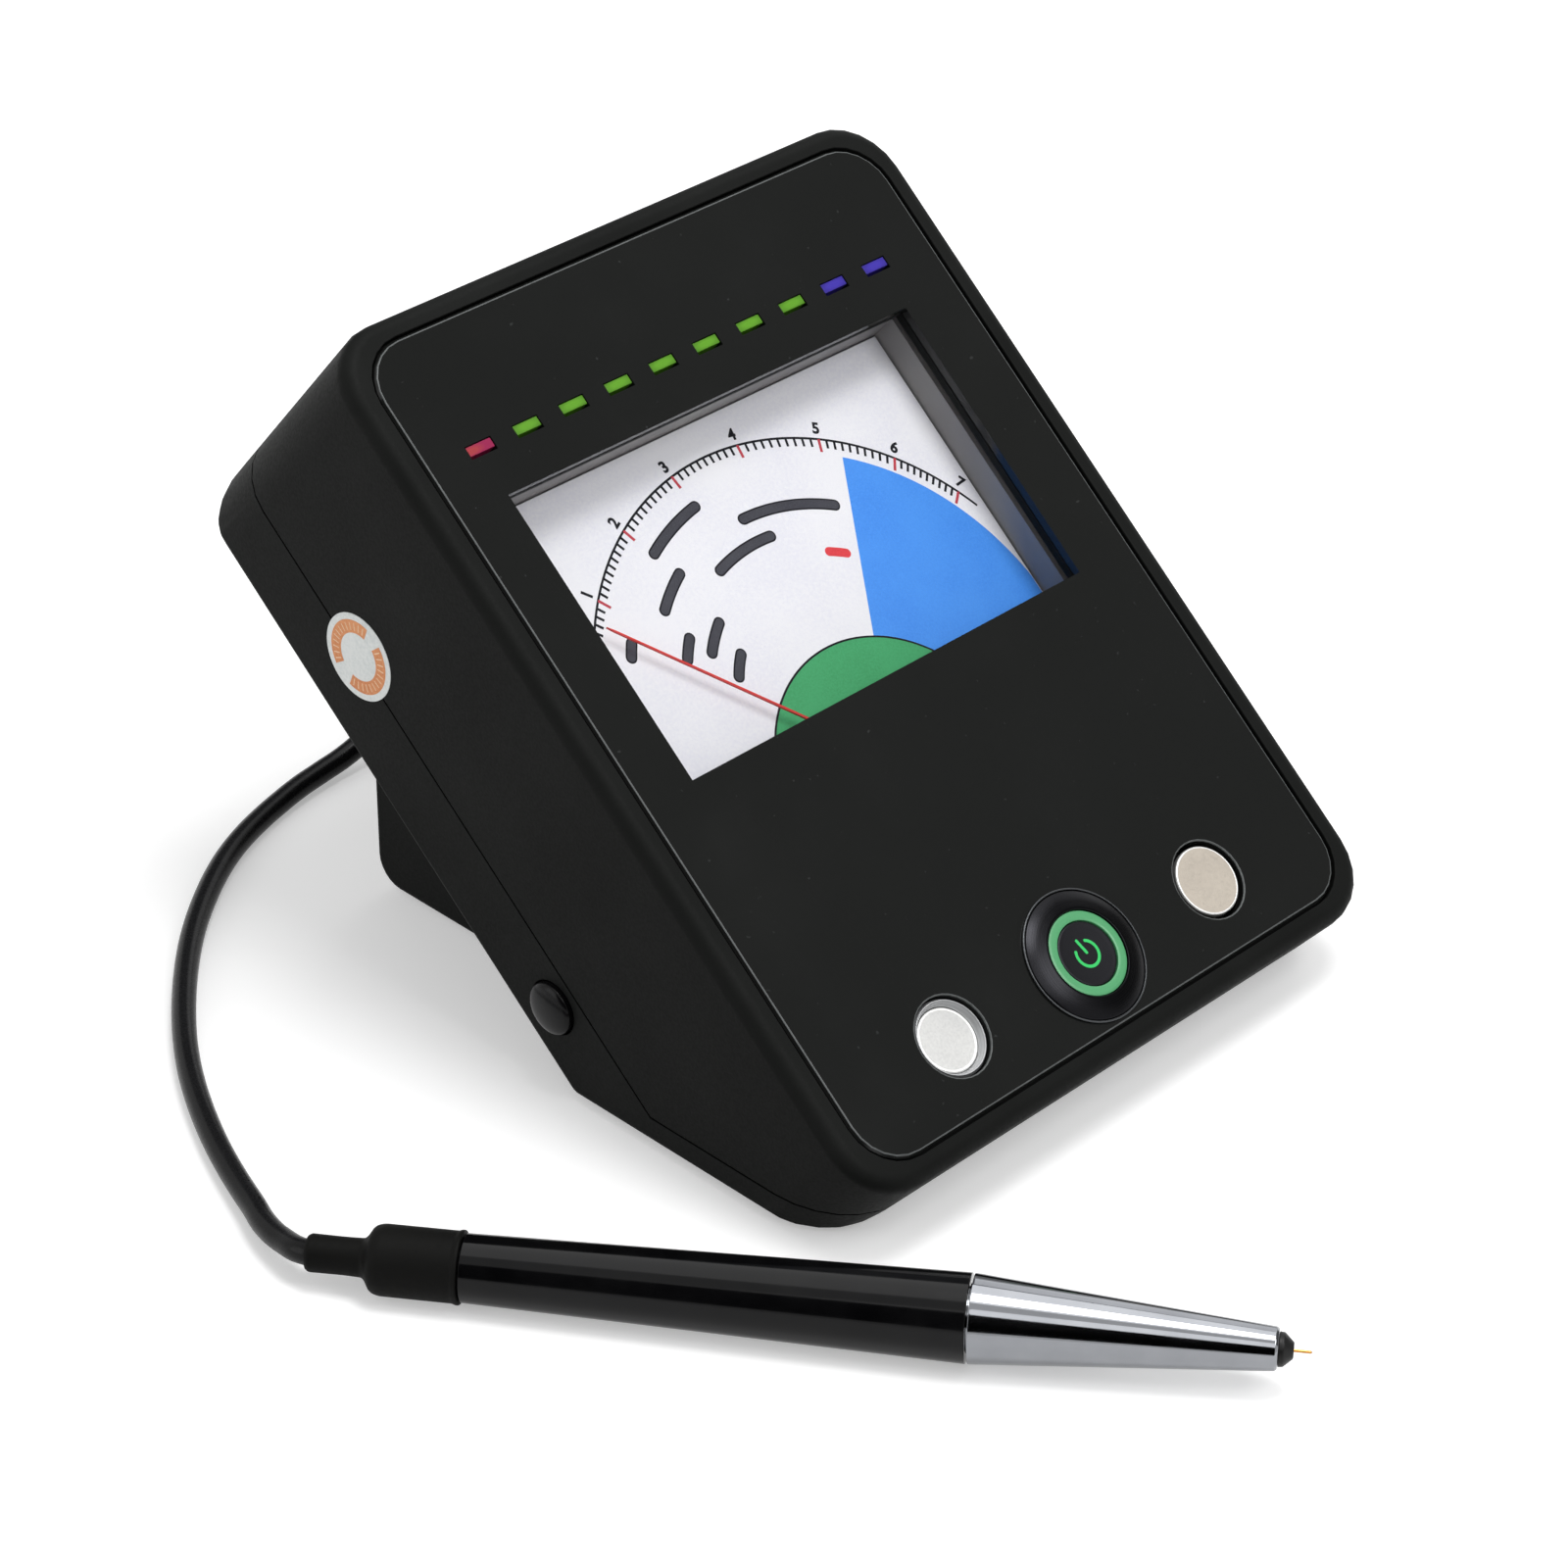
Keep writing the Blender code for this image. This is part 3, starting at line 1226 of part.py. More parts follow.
def movement_yoke(parent):
    """Soft-iron ring round the coil."""
    profile = [
        (YOKE_INNER, -CORE_END),
        (YOKE_OUTER, -CORE_END),
        (YOKE_OUTER, -CORE_DEPTH),
        (YOKE_INNER, -CORE_DEPTH),
    ]
    yoke = turned("movement_yoke", profile, HIDDEN_ROUND_STEPS)
    return seat(yoke, parent, "soft_iron", location=(PIVOT_U, PIVOT_V, 0))


def movement_core(parent):
    """Core inside the coil, carried by two arms that pass where the coil never swings."""
    core = cylinder("movement_core", CORE_RADIUS, -CORE_END, -CORE_DEPTH)
    half = CORE_ARM_WIDTH / 2
    arm_top = -CORE_END - GAP
    for side in (-1, 1):
        inner = side * CORE_ARM_INNER
        steps = ((CORE_ARM_OUTER, arm_top), (CORE_RADIUS - CORE_ARM_RIM, COIL_WIRE - CORE_END))
        for reach, top in steps:
            arm = span(-half, half, *sorted((inner, side * reach)))
            join(core, slab("arm", arm, arm_top - CORE_ARM_THICKNESS, top))
    middle = (NEEDLE_SWING_LOW + NEEDLE_SWING_HIGH) / 2
    place = (PIVOT_U, PIVOT_V, 0)
    return seat(core, parent, "soft_iron", location=place, rotation=(0, 0, NEEDLE_REST + middle))


def pivot_bridge(parent):
    """Bridge over the coil that carries the staff's upper bearing."""
    half = BRIDGE_WIDTH / 2
    bar_low = -BRIDGE_DEPTH - BRIDGE_THICKNESS
    bar = span(-BRIDGE_POST_OUTER, BRIDGE_POST_OUTER, -half, half)
    bridge = slab("pivot_bridge", bar, bar_low, -BRIDGE_DEPTH)
    for side in (-1, 1):
        post = span(*sorted((side * BRIDGE_POST_INNER, side * BRIDGE_POST_OUTER)), -half, half)
        join(bridge, slab("post", post, GAP - CORE_DEPTH, bar_low + BRIDGE_THICKNESS / 2))
    cut(bridge, cylinder("bore", STAFF_RADIUS + GAP, bar_low - OVERRUN, OVERRUN - BRIDGE_DEPTH))
    return seat(bridge, parent, "brass", location=(PIVOT_U, PIVOT_V, 0))


# Electronics


def board_post_places():
    """(u, v) of the posts under the main board."""
    ends = (MAIN_BOARD_LOW_V + BOARD_POST_INSET_V, MAIN_BOARD_TOP_V - BOARD_POST_INSET_V)
    return [(side * BOARD_POST_U, v) for v in ends for side in (-1, 1)]


def main_board(parent):
    """Main circuit board on its four posts."""
    outline = span(-MAIN_BOARD_HALF_WIDTH, MAIN_BOARD_HALF_WIDTH, MAIN_BOARD_LOW_V, MAIN_BOARD_TOP_V)
    low = -MAIN_BOARD_DEPTH - BOARD_THICKNESS
    return seat(slab("main_board", outline, low, -MAIN_BOARD_DEPTH), parent, "green_circuit_board")


def buzzer(parent):
    """Round buzzer on the main board, with its sound hole."""
    low = GAP - MAIN_BOARD_DEPTH
    can = cylinder("buzzer", BUZZER_RADIUS, low, low + BUZZER_HEIGHT)
    hole_low = low + BUZZER_HEIGHT - BUZZER_HOLE_DEPTH
    cut(can, cylinder("hole", BUZZER_HOLE_RADIUS, hole_low, low + BUZZER_HEIGHT + OVERRUN))
    return seat(can, parent, "black_insulator", location=(BUZZER_U, BUZZER_V, 0))


def cell_place(k):
    """x of a cell's axis."""
    return CELL_PITCH * (k - (CELL_COUNT - 1) / 2)


def cells(parent):
    """Four AA cells side by side, turned end for end in turn."""
    for k in range(CELL_COUNT):
        facing = 1 if k % 2 == 0 else -1
        body_end = CELL_LENGTH / 2 - CELL_NUB_LENGTH
        profile = [
            (0, -CELL_LENGTH / 2),
            (CELL_RADIUS - CELL_EDGE, -CELL_LENGTH / 2),
            (CELL_RADIUS, CELL_EDGE - CELL_LENGTH / 2),
            (CELL_RADIUS, body_end - CELL_EDGE),
            (CELL_RADIUS - CELL_EDGE, body_end),
            (CELL_NUB_RADIUS, body_end),
            (CELL_NUB_RADIUS, CELL_LENGTH / 2),
            (0, CELL_LENGTH / 2),
        ]
        cell = turned(f"battery_{k + 1}", profile, SMALL_ROUND_STEPS)
        y = cell_middle(facing)
        turn = (-facing * math.pi / 2, 0, 0)
        seat(cell, parent, "cell_jacket", location=(cell_place(k), y, CELL_AXIS), rotation=turn)


def cell_middle(facing):
    """y of a cell's middle: its nub stands against the plain contact at one end of the bay."""
    inset = GAP + CONTACT_THICKNESS + CONTACT_BUMP + GAP + CELL_LENGTH / 2
    return BAY_REAR - inset if facing > 0 else BAY_FRONT + inset


def contact_plates(parent):
    """Spring and bump contacts at both ends of the bay, joining the cells in series."""
    spring = BAY_SPARE - 2 * GAP - 2 * CONTACT_THICKNESS
    spring -= CONTACT_BUMP + 2 * GAP
    groups = (
        ("contact_rear_left", 1, (0, 1)),
        ("contact_rear_right", 1, (2, 3)),
        ("contact_front_left", -1, (0,)),
        ("contact_front_middle", -1, (1, 2)),
        ("contact_front_right", -1, (3,)),
    )
    for name, end, members in groups:
        places = [cell_place(k) for k in members]
        left = min(places) - CONTACT_WIDTH / 2
        right = max(places) + CONTACT_WIDTH / 2
        outline = span(left, right, -CONTACT_HEIGHT / 2, CONTACT_HEIGHT / 2)
        plate = slab(name, outline, 0, CONTACT_THICKNESS)
        for k in members:
            nub_here = (k % 2 == 0) == (end > 0)
            base = CONTACT_BUMP_RADIUS if nub_here else CONTACT_SPRING_BASE
            top = CONTACT_BUMP_RADIUS if nub_here else CONTACT_SPRING_TOP
            height = CONTACT_THICKNESS + (CONTACT_BUMP if nub_here else spring)
            start = CONTACT_THICKNESS / 2
            profile = [(0, start), (base, start), (top, height), (0, height)]
            join(plate, moved(turned("bump", profile, POST_STEPS), cell_place(k)))
        wall = BAY_REAR - GAP if end > 0 else BAY_FRONT + GAP
        turn = (end * math.pi / 2, 0, 0)
        seat(plate, parent, "sprung_contact", location=(0, wall, CELL_AXIS), rotation=turn)


# Cord and its grommet


def grommet(parent):
    """Strain relief in the leg's rear wall."""
    outer = GAP + GROMMET_FLANGE
    nose = outer + GROMMET_NOSE_LENGTH
    inner = -WALL - GAP
    profile = [
        (0, inner - GROMMET_FLANGE),
        (GROMMET_FLANGE_RADIUS, inner - GROMMET_FLANGE),
        (GROMMET_FLANGE_RADIUS, inner),
        (GROMMET_NECK_RADIUS, inner),
        (GROMMET_NECK_RADIUS, GAP),
        (GROMMET_FLANGE_RADIUS, GAP),
        (GROMMET_FLANGE_RADIUS, outer),
        (GROMMET_NOSE_RADIUS, outer),
        (GROMMET_NOSE_END_RADIUS, nose),
        (CORD_RADIUS + GAP, nose),
        (CORD_RADIUS + GAP, nose - CORD_INSERT - GAP),
        (0, nose - CORD_INSERT - GAP),
    ]
    piece = turned("cord_grommet", profile, SMALL_ROUND_STEPS)
    place = (CORD_EXIT_X, LEG_REACH, CORD_EXIT_HEIGHT)
    return seat(piece, parent, "black_rubber", location=place, rotation=(-math.pi / 2, 0, 0))


def probe_point(station):
    """A point on the pen's axis, in the tester's frame."""
    level_part = math.cos(PROBE_SLOPE)
    return Vector(
        (
            PROBE_X + station * level_part * math.cos(PROBE_HEADING),
            PROBE_Y + station * level_part * math.sin(PROBE_HEADING),
            NOSE_RADIUS / level_part + station * math.sin(PROBE_SLOPE),
        )
    )


def smooth_curve(route):
    """Points every CORD_SPACING along a smooth curve through the route's own points."""
    points = np.array(route)
    reach = np.cumsum(np.r_[0, np.linalg.norm(np.diff(points, axis=0), axis=1)])
    slopes = np.gradient(points, reach, axis=0)
    fine = np.linspace(0, reach[-1], CURVE_SAMPLES * len(points))
    i = np.clip(np.searchsorted(reach, fine) - 1, 0, len(points) - 2)
    step = (reach[i + 1] - reach[i])[:, None]
    t = (fine - reach[i])[:, None] / step
    curve = (2 * t**3 - 3 * t**2 + 1) * points[i] + (t**3 - 2 * t**2 + t) * step * slopes[i]
    curve += (3 * t**2 - 2 * t**3) * points[i + 1] + (t**3 - t**2) * step * slopes[i + 1]
    length = np.cumsum(np.r_[0, np.linalg.norm(np.diff(curve, axis=0), axis=1)])
    count = max(2, round(length[-1] / CORD_SPACING) + 1)
    marks = np.linspace(0, length[-1], count)
    return [Vector([np.interp(mark, length, curve[:, axis]) for axis in range(3)]) for mark in marks]


def probe_cord(parent):
    """The cord from the grommet's bore to the sleeve's bore."""
    mouth_y = LEG_REACH + GAP + GROMMET_FLANGE + GROMMET_NOSE_LENGTH
    height = CORD_EXIT_HEIGHT + FOOT_PROUD
    start = Vector((CORD_EXIT_X, mouth_y - CORD_INSERT, height))
    mouth = Vector((CORD_EXIT_X, mouth_y, height))
    sleeve_mouth = probe_point(SLEEVE_END)
    end = probe_point(SLEEVE_END + CORD_INSERT)
    route = [mouth, *[Vector(point) for point in CORD_ROUTE], sleeve_mouth]
    points = [start, *smooth_curve(route), end]
    curve = bpy.data.curves.new("probe_cord", "CURVE")
    curve.dimensions = "3D"
    curve.bevel_depth = CORD_RADIUS
    curve.bevel_resolution = 2
    curve.use_fill_caps = True
    spline = curve.splines.new("POLY")
    spline.points.add(len(points) - 1)
    for knot, point in zip(spline.points, points):
        knot.co = (*point, 1)
    cord = bpy.data.objects.new("probe_cord", curve)
    bpy.context.scene.collection.objects.link(cord)
    cord.data.materials.append(finish("cord_jacket"))
    cord.parent = parent
    return cord


# Probe pen


def probe_barrel(parent):
    """Tapered barrel, open through, with a turned-down seat for the sleeve."""
    rear = -BARREL_LENGTH
    front = -BARREL_SEAM
    seat_end = SLEEVE_FRONT + GAP
    profile = [
        (BARREL_SEAT_RADIUS - BARREL_WALL, rear),
        (BARREL_SEAT_RADIUS, rear),
        (BARREL_SEAT_RADIUS, seat_end),
        (barrel_radius(seat_end), seat_end),
        (barrel_radius(front), front),
        (SPIGOT_RADIUS + GAP, front),
        (SPIGOT_RADIUS + GAP, -SPIGOT_LENGTH - GAP),
        (BARREL_SEAT_RADIUS - BARREL_WALL, -SPIGOT_LENGTH - GAP),
    ]
    return seat(turned("probe_barrel", profile), parent, "gloss_black_barrel")


def barrel_radius(station):
    """The barrel's radius at a station along the pen."""
    return NOSE_RADIUS + (NOSE_RADIUS - BARREL_REAR_RADIUS) * station / BARREL_LENGTH


def probe_sleeve(parent):
    """Shrink sleeve over the barrel's rear end and the cord."""
    bore = BARREL_SEAT_RADIUS + GAP
    rear = -BARREL_LENGTH - GAP
    cord_bore = CORD_RADIUS + GAP
    profile = [
        (bore, SLEEVE_FRONT),
        (SLEEVE_RADIUS, SLEEVE_FRONT),
        (SLEEVE_RADIUS, SLEEVE_FRONT - SLEEVE_LIP),
        (SLEEVE_RADIUS - SLEEVE_LIP, SLEEVE_FRONT - 2 * SLEEVE_LIP),
        (SLEEVE_RADIUS - SLEEVE_LIP, SLEEVE_SHOULDER),
    ]
    drop = SLEEVE_RADIUS - SLEEVE_LIP - SLEEVE_NECK_RADIUS
    for k in range(1, SLEEVE_STEPS):
        share = k / SLEEVE_STEPS
        radius = SLEEVE_NECK_RADIUS + drop * (1 + math.cos(math.pi * share)) / 2
        profile.append((radius, SLEEVE_SHOULDER + (SLEEVE_NECK - SLEEVE_SHOULDER) * share))
    profile += [
        (SLEEVE_NECK_RADIUS, SLEEVE_NECK),
        (SLEEVE_NECK_RADIUS, SLEEVE_END + SLEEVE_LIP),
        (SLEEVE_NECK_RADIUS - SLEEVE_LIP, SLEEVE_END),
        (cord_bore, SLEEVE_END),
        (cord_bore, rear),
        (bore, rear),
    ]
    return seat(turned("probe_sleeve", profile), parent, "black_rubber")


def probe_nose(parent):
    """Chromed cone, hollow, with a spigot in the barrel."""
    bore = SPIGOT_RADIUS - NOSE_WALL
    seat_radius = INSULATOR_PLUG_RADIUS + GAP
    seat_start = NOSE_LENGTH - INSULATOR_PLUG_LENGTH - GAP
    profile = [
        (bore, -SPIGOT_LENGTH),
        (SPIGOT_RADIUS, -SPIGOT_LENGTH),
        (SPIGOT_RADIUS, BARREL_SEAM),
        (NOSE_RADIUS, BARREL_SEAM),
        (NOSE_END_RADIUS, NOSE_LENGTH - NOSE_EDGE),
        (NOSE_END_RADIUS - NOSE_EDGE, NOSE_LENGTH),
        (seat_radius, NOSE_LENGTH),
        (seat_radius, seat_start),
        (INSULATOR_PLUG_RADIUS - NOSE_WALL / 2, seat_start),
        (INSULATOR_PLUG_RADIUS - NOSE_WALL / 2, tip_room_end() - TIP_COLLAR_LENGTH),
        (bore, SPIGOT_LENGTH),
    ]
    return seat(turned("probe_nose", profile), parent, "chrome")


def insulator_back():
    """Station of the insulator's rear end."""
    return NOSE_LENGTH - INSULATOR_PLUG_LENGTH


def tip_room_end():
    """Station that the tip's collar reaches when it is pressed home."""
    return insulator_back() - GAP - TIP_COLLAR_LENGTH - TIP_TRAVEL


def probe_insulator(parent):
    """Black insulating cone that guides the tip."""
    bore = TIP_RADIUS + SLIM_GAP
    front = NOSE_LENGTH + GAP
    profile = [
        (bore, insulator_back()),
        (INSULATOR_PLUG_RADIUS, insulator_back()),
        (INSULATOR_PLUG_RADIUS, front),
        (INSULATOR_BASE_RADIUS, front),
        (INSULATOR_END_RADIUS, NOSE_LENGTH + INSULATOR_REACH),
        (bore, NOSE_LENGTH + INSULATOR_REACH),
    ]
    cone = turned("probe_insulator", profile, HIDDEN_ROUND_STEPS)
    return seat(cone, parent, "black_insulator")


def probe_tip(parent):
    """Copper tip with the collar that keeps it in the insulator."""
    back = insulator_back() - GAP
    front = NOSE_LENGTH + INSULATOR_REACH + TIP_REACH
    profile = [
        (0, back - TIP_COLLAR_LENGTH),
        (TIP_COLLAR_RADIUS, back - TIP_COLLAR_LENGTH),
        (TIP_COLLAR_RADIUS, back),
        (TIP_RADIUS, back),
        (TIP_RADIUS, front - TIP_RADIUS),
        (0, front),
    ]
    tip = turned("probe_tip", profile, SMALL_ROUND_STEPS)
    return seat(tip, parent, "copper")


def centre_on_floor(root):
    """Moves the tester so that its origin is under the middle of its pieces, without the cord."""
    bpy.context.view_layer.update()
    graph = bpy.context.evaluated_depsgraph_get()
    corners = []
    for body in bpy.data.objects:
        if body.type == "MESH":
            solid = body.evaluated_get(graph)
            corners += [solid.matrix_world @ vertex.co for vertex in solid.data.vertices]
    places = np.array(corners)
    middle = (places.min(axis=0) + places.max(axis=0)) / 2
    root.location = (-middle[0], -middle[1], 0)


def main():
    clear_scene()
    root = frame_empty("tester")
    lift = CENTRE_LIFT + FOOT_PROUD
    console = frame_empty("console", root, (0, 0, lift), (TILT, 0, 0))
    base = frame_empty("base", root, (0, 0, FOOT_PROUD))
    probe_turn = (0, math.pi / 2 - PROBE_SLOPE, PROBE_HEADING)
    probe = frame_empty("probe", root, probe_point(0), probe_turn)
    for build in (
        front_shell,
        back_shell,
        housing_screws,
        front_panel,
        lamps,
        lamp_board,
        switch_bezel,
        switch_ring,
        switch_actuator,
        switch_nut,
        switch_block,
        reference_discs,
        calibration_knob,
        potentiometer,
        meter_case,
        meter_lens,
        dial_plate,
        needle,
        moving_coil,
        movement_yoke,
        movement_core,
        pivot_bridge,
        main_board,
        buzzer,
    ):
        build(console)
    for build in (battery_door, feet, cells, contact_plates, grommet):
        build(base)
    for build in (probe_barrel, probe_sleeve, probe_nose, probe_insulator, probe_tip):
        build(probe)
    probe_cord(root)
    centre_on_floor(root)


main()
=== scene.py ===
"""A bench diamond tester, dressed for its picture.

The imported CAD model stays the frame. Each sub-assembly is a class that makes its finer surfaces
and gives every piece its finish: the housing, the panel with its lamps, the meter and its dial,
the lit switch, the reference discs, the knob, the probe pen and the pen's cord.

Lengths are in metres, but those of finishes, profiles and places on the panel in millimetres.
Panel pieces are drawn in the panel's own frame: u to the right, v up the panel and n out of it.
Base pieces use the tester's upright frame, and the pen has its own axis.
"""

import json
import logging
import math
from dataclasses import dataclass
from enum import Enum

import bmesh
import bpy
import numpy as np
from mathutils import Matrix, Vector

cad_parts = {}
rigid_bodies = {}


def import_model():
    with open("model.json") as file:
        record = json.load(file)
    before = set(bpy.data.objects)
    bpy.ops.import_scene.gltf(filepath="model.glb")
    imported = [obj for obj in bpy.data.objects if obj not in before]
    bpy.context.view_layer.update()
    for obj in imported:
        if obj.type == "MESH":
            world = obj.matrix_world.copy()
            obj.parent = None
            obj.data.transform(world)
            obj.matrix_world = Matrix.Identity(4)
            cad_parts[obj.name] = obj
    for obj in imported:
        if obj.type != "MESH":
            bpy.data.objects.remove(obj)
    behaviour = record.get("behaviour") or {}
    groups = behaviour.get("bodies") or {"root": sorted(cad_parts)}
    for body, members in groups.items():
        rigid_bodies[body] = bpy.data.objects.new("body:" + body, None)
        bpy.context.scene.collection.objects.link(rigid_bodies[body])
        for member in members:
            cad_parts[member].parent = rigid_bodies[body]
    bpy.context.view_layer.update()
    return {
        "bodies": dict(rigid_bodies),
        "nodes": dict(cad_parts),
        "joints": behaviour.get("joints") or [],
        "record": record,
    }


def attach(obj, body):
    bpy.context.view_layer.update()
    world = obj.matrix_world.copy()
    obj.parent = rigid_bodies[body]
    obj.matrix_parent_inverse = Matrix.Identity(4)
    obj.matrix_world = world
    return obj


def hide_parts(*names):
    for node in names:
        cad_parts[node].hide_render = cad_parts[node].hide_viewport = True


LOG = logging.getLogger("diamond_tester")
Array = np.ndarray
Socket = bpy.types.NodeSocket
Triple = tuple[float, float, float]
Pairs = tuple[tuple[float, float], ...]
MM = 0.001
MERGE = 1e-7
NODE_MERGE = 1e-6
FLAT = math.radians(0.4)
SMOOTH = math.radians(38.0)
LONGEST_CUT_SHARE = 0.45
QUARTER = math.pi / 2
ROUND = 128
EVEN = (1.0, 1.0, 1.0)
CORNERS = np.array([[-1, -1], [1, -1], [1, 1], [-1, 1]])
FOOT_HEIGHT = 1.2 * MM
PANEL_LEAN = math.radians(40.0)
PEN_HEADING = math.radians(-54.8)
PEN_RINGS = (6.7 * MM, 5.6 * MM)
PEN_RINGS_APART = 75.6 * MM
PEN_SLOPE = math.asin((PEN_RINGS[0] - PEN_RINGS[1]) / PEN_RINGS_APART)


class Side(Enum):
    """The wall of the console that a piece faces out of, as the turn from the panel's frame."""

    FRONT = ((1, 0, 0), (0, 1, 0), (0, 0, 1))
    LEFT = ((0, 0, -1), (1, 0, 0), (0, -1, 0))


class Coordinates(Enum):
    """What a pattern follows: the part's own axes, or the way that the surface was made."""

    BODY = "Object"
    SURFACE = "UV"


def framed(turn: Array | Matrix | tuple, spot: Array | tuple) -> Array:
    """The matrix of a frame, from its axes in columns and its origin."""
    return np.block([[np.array(turn, dtype=float), np.reshape(spot, (3, 1))], [np.zeros(3), 1]])


# The base stands on the feet, the panel leans back from it, and the pen lies on its two widest rings.
BASE = framed(np.eye(3), (0.0303652, 0.0156950, FOOT_HEIGHT))
PANEL = BASE @ framed(Matrix.Rotation(PANEL_LEAN, 3, "X"), (0, 0, 0.0624311))
PEN = BASE @ framed(
    Matrix.Rotation(PEN_HEADING, 3, "Z") @ Matrix.Rotation(QUARTER - PEN_SLOPE, 3, "Y"),
    (-0.0613, -0.0799, PEN_RINGS[0] / math.cos(PEN_SLOPE) - FOOT_HEIGHT),
)


def panel_place(u: float, v: float, n: float = 0.0, side: Side = Side.FRONT) -> Array:
    """The frame at a point of the panel, in millimetres, facing out of one of the walls."""
    return PANEL @ framed(side.value, np.array([u, v, n]) * MM)


def srgb(code: str) -> tuple[float, float, float, float]:
    """Linear red, green, blue and alpha of an sRGB hex colour.

    Args:
        code: The colour, as # and six digits.

    Returns:
        The four values.
    """
    values = np.array([int(code[i : i + 2], 16) for i in (1, 3, 5)]) / 255
    linear = np.where(values <= 0.04045, values / 12.92, ((values + 0.055) / 1.055) ** 2.4)
    return (*linear.tolist(), 1.0)


def feed(node: bpy.types.Node, inputs: dict) -> bpy.types.NodeOutputs:
    """Sets a node's inputs.

    Args:
        node: The node.
        inputs: From a socket's name or number to a constant, or to the output that feeds it.

    Returns:
        The node's outputs.
    """
    for key, value in inputs.items():
        if isinstance(value, Socket):
            node.id_data.links.new(value, node.inputs[key])
        else:
            node.inputs[key].default_value = value
    return node.outputs


def add_node(
    tree: bpy.types.NodeTree, kind: str, inputs: dict | None = None, **settings: object
) -> bpy.types.NodeOutputs:
    """Adds a node with its settings, its constants and its links.

    Args:
        tree: The material's or the world's node tree.
        kind: The node's type, without its leading ShaderNode.
        inputs: What feed takes.
        settings: The node's own settings.

    Returns:
        The new node's outputs.
    """
    node = tree.nodes.new("ShaderNode" + kind)
    for name, value in settings.items():
        setattr(node, name, value)
    return feed(node, inputs or {})


@dataclass(frozen=True)
class Finish:
    """What a surface is made of. Each finish becomes one material, shared by its pieces.

    The grain is the size of its finest pattern, and the relief how deep that is, in millimetres.
    """

    name: str
    colour: str
    variation: str = ""
    roughness: float = 0.5
    metallic: float = 0.0
    specular: float = 0.5
    grain: float = 0.5
    relief: float = 0.0
    follows: Coordinates = Coordinates.BODY

    @property
    def tree(self) -> bpy.types.NodeTree:
        """The nodes of the finish's material."""
        return bpy.data.materials[self.name].node_tree

    @property
    def shader(self) -> bpy.types.Node:
        """The surface shader of the finish's material."""
        return self.tree.nodes["Principled BSDF"]

    def material(self) -> bpy.types.Material:
        """The finish as a material, made once.

        Returns:
            The material.
        """
        made = bpy.data.materials.get(self.name)
        if made is None:
            made = bpy.data.materials.new(self.name)
            made.use_nodes = True
            made.diffuse_color = srgb(self.colour)
            plain = {"Roughness": self.roughness, "Metallic": self.metallic}
            plain |= {"Base Color": srgb(self.colour), "Specular IOR Level": self.specular}
            feed(self.shader, plain)
            self.dress()
        return made

    def dress(self) -> None:
        """Adds the finish's own nodes; every kind of finish has its own."""
        raise NotImplementedError

    def spot(self) -> Socket:
        """The coordinates that the pattern follows."""
        return add_node(self.tree, "TexCoord")[self.follows.value]

    def noise(self, size: float, stretch: Triple = EVEN, detail: float = 2.0) -> Socket:
        """A cloud pattern on the piece.

        Args:
            size: Length of one patch in millimetres.
            stretch: How many times finer the patches are along each axis.
            detail: Number of finer layers in it.

        Returns:
            The pattern's output, about 0.5 on average.
        """
        spot = add_node(self.tree, "Mapping", {"Vector": self.spot(), "Scale": stretch})[0]
        inputs = {"Vector": spot, "Scale": 1 / (size * MM), "Detail": detail}
        return add_node(self.tree, "TexNoise", inputs)[0]

    def tint(self, share: Socket) -> Socket:
        """Blends the base colour to its variation.

        Args:
            share: 0 for the finish's own colour and 1 for its variation.

        Returns:
            The blended colour.
        """
        inputs = {0: share, 6: srgb(self.colour), 7: srgb(self.variation)}
        colour = add_node(self.tree, "Mix", inputs, data_type="RGBA")[2]
        feed(self.shader, {"Base Color": colour})
        return colour

    def vary(self, pattern: Socket, start: float = 0.3, end: float = 0.7, most: float = 1.0) -> Socket:
        """Blends the base colour to its variation where a pattern rises.

        Args:
            pattern: The pattern.
            start: Its value up to which the colour is the finish's own.
            end: Its value from which the variation has its full share.
            most: That full share.

        Returns:
            The blended colour.
        """
        return self.tint(add_node(self.tree, "MapRange", {0: pattern, 1: start, 2: end, 4: most})[0])

    def gloss(self, pattern: Socket, less: float, more: float) -> None:
        """Lets the roughness follow a pattern.

        Args:
            pattern: The pattern.
            less: How far the roughness falls where it is weak.
            more: How far the roughness rises where it is strong.
        """
        rough = {0: pattern, 1: 0.3, 2: 0.7, 3: self.roughness - less, 4: self.roughness + more}
        feed(self.shader, {"Roughness": add_node(self.tree, "MapRange", rough)[0]})

    def emboss(self, height: Socket) -> None:
        """Raises the surface by a pattern from 0 to 1, as high as the relief."""
        bump = {"Strength": 1.0, "Distance": self.relief * MM, "Height": height}
        feed(self.shader, {"Normal": add_node(self.tree, "Bump", bump)[0]})


@dataclass(frozen=True)
class SparkTextured(Finish):
    """Plastic or rubber from a spark-eroded mould: a fine even grain with faint blotches."""

    grains_to_blotch: float = 40.0

    def dress(self) -> None:
        """Grain as relief, roughness that follows it, and slow blotches in the colour."""
        grain = self.noise(self.grain)
        self.vary(self.noise(self.grains_to_blotch * self.grain))
        self.gloss(grain, less=0.06, more=0.06)
        self.emboss(grain)


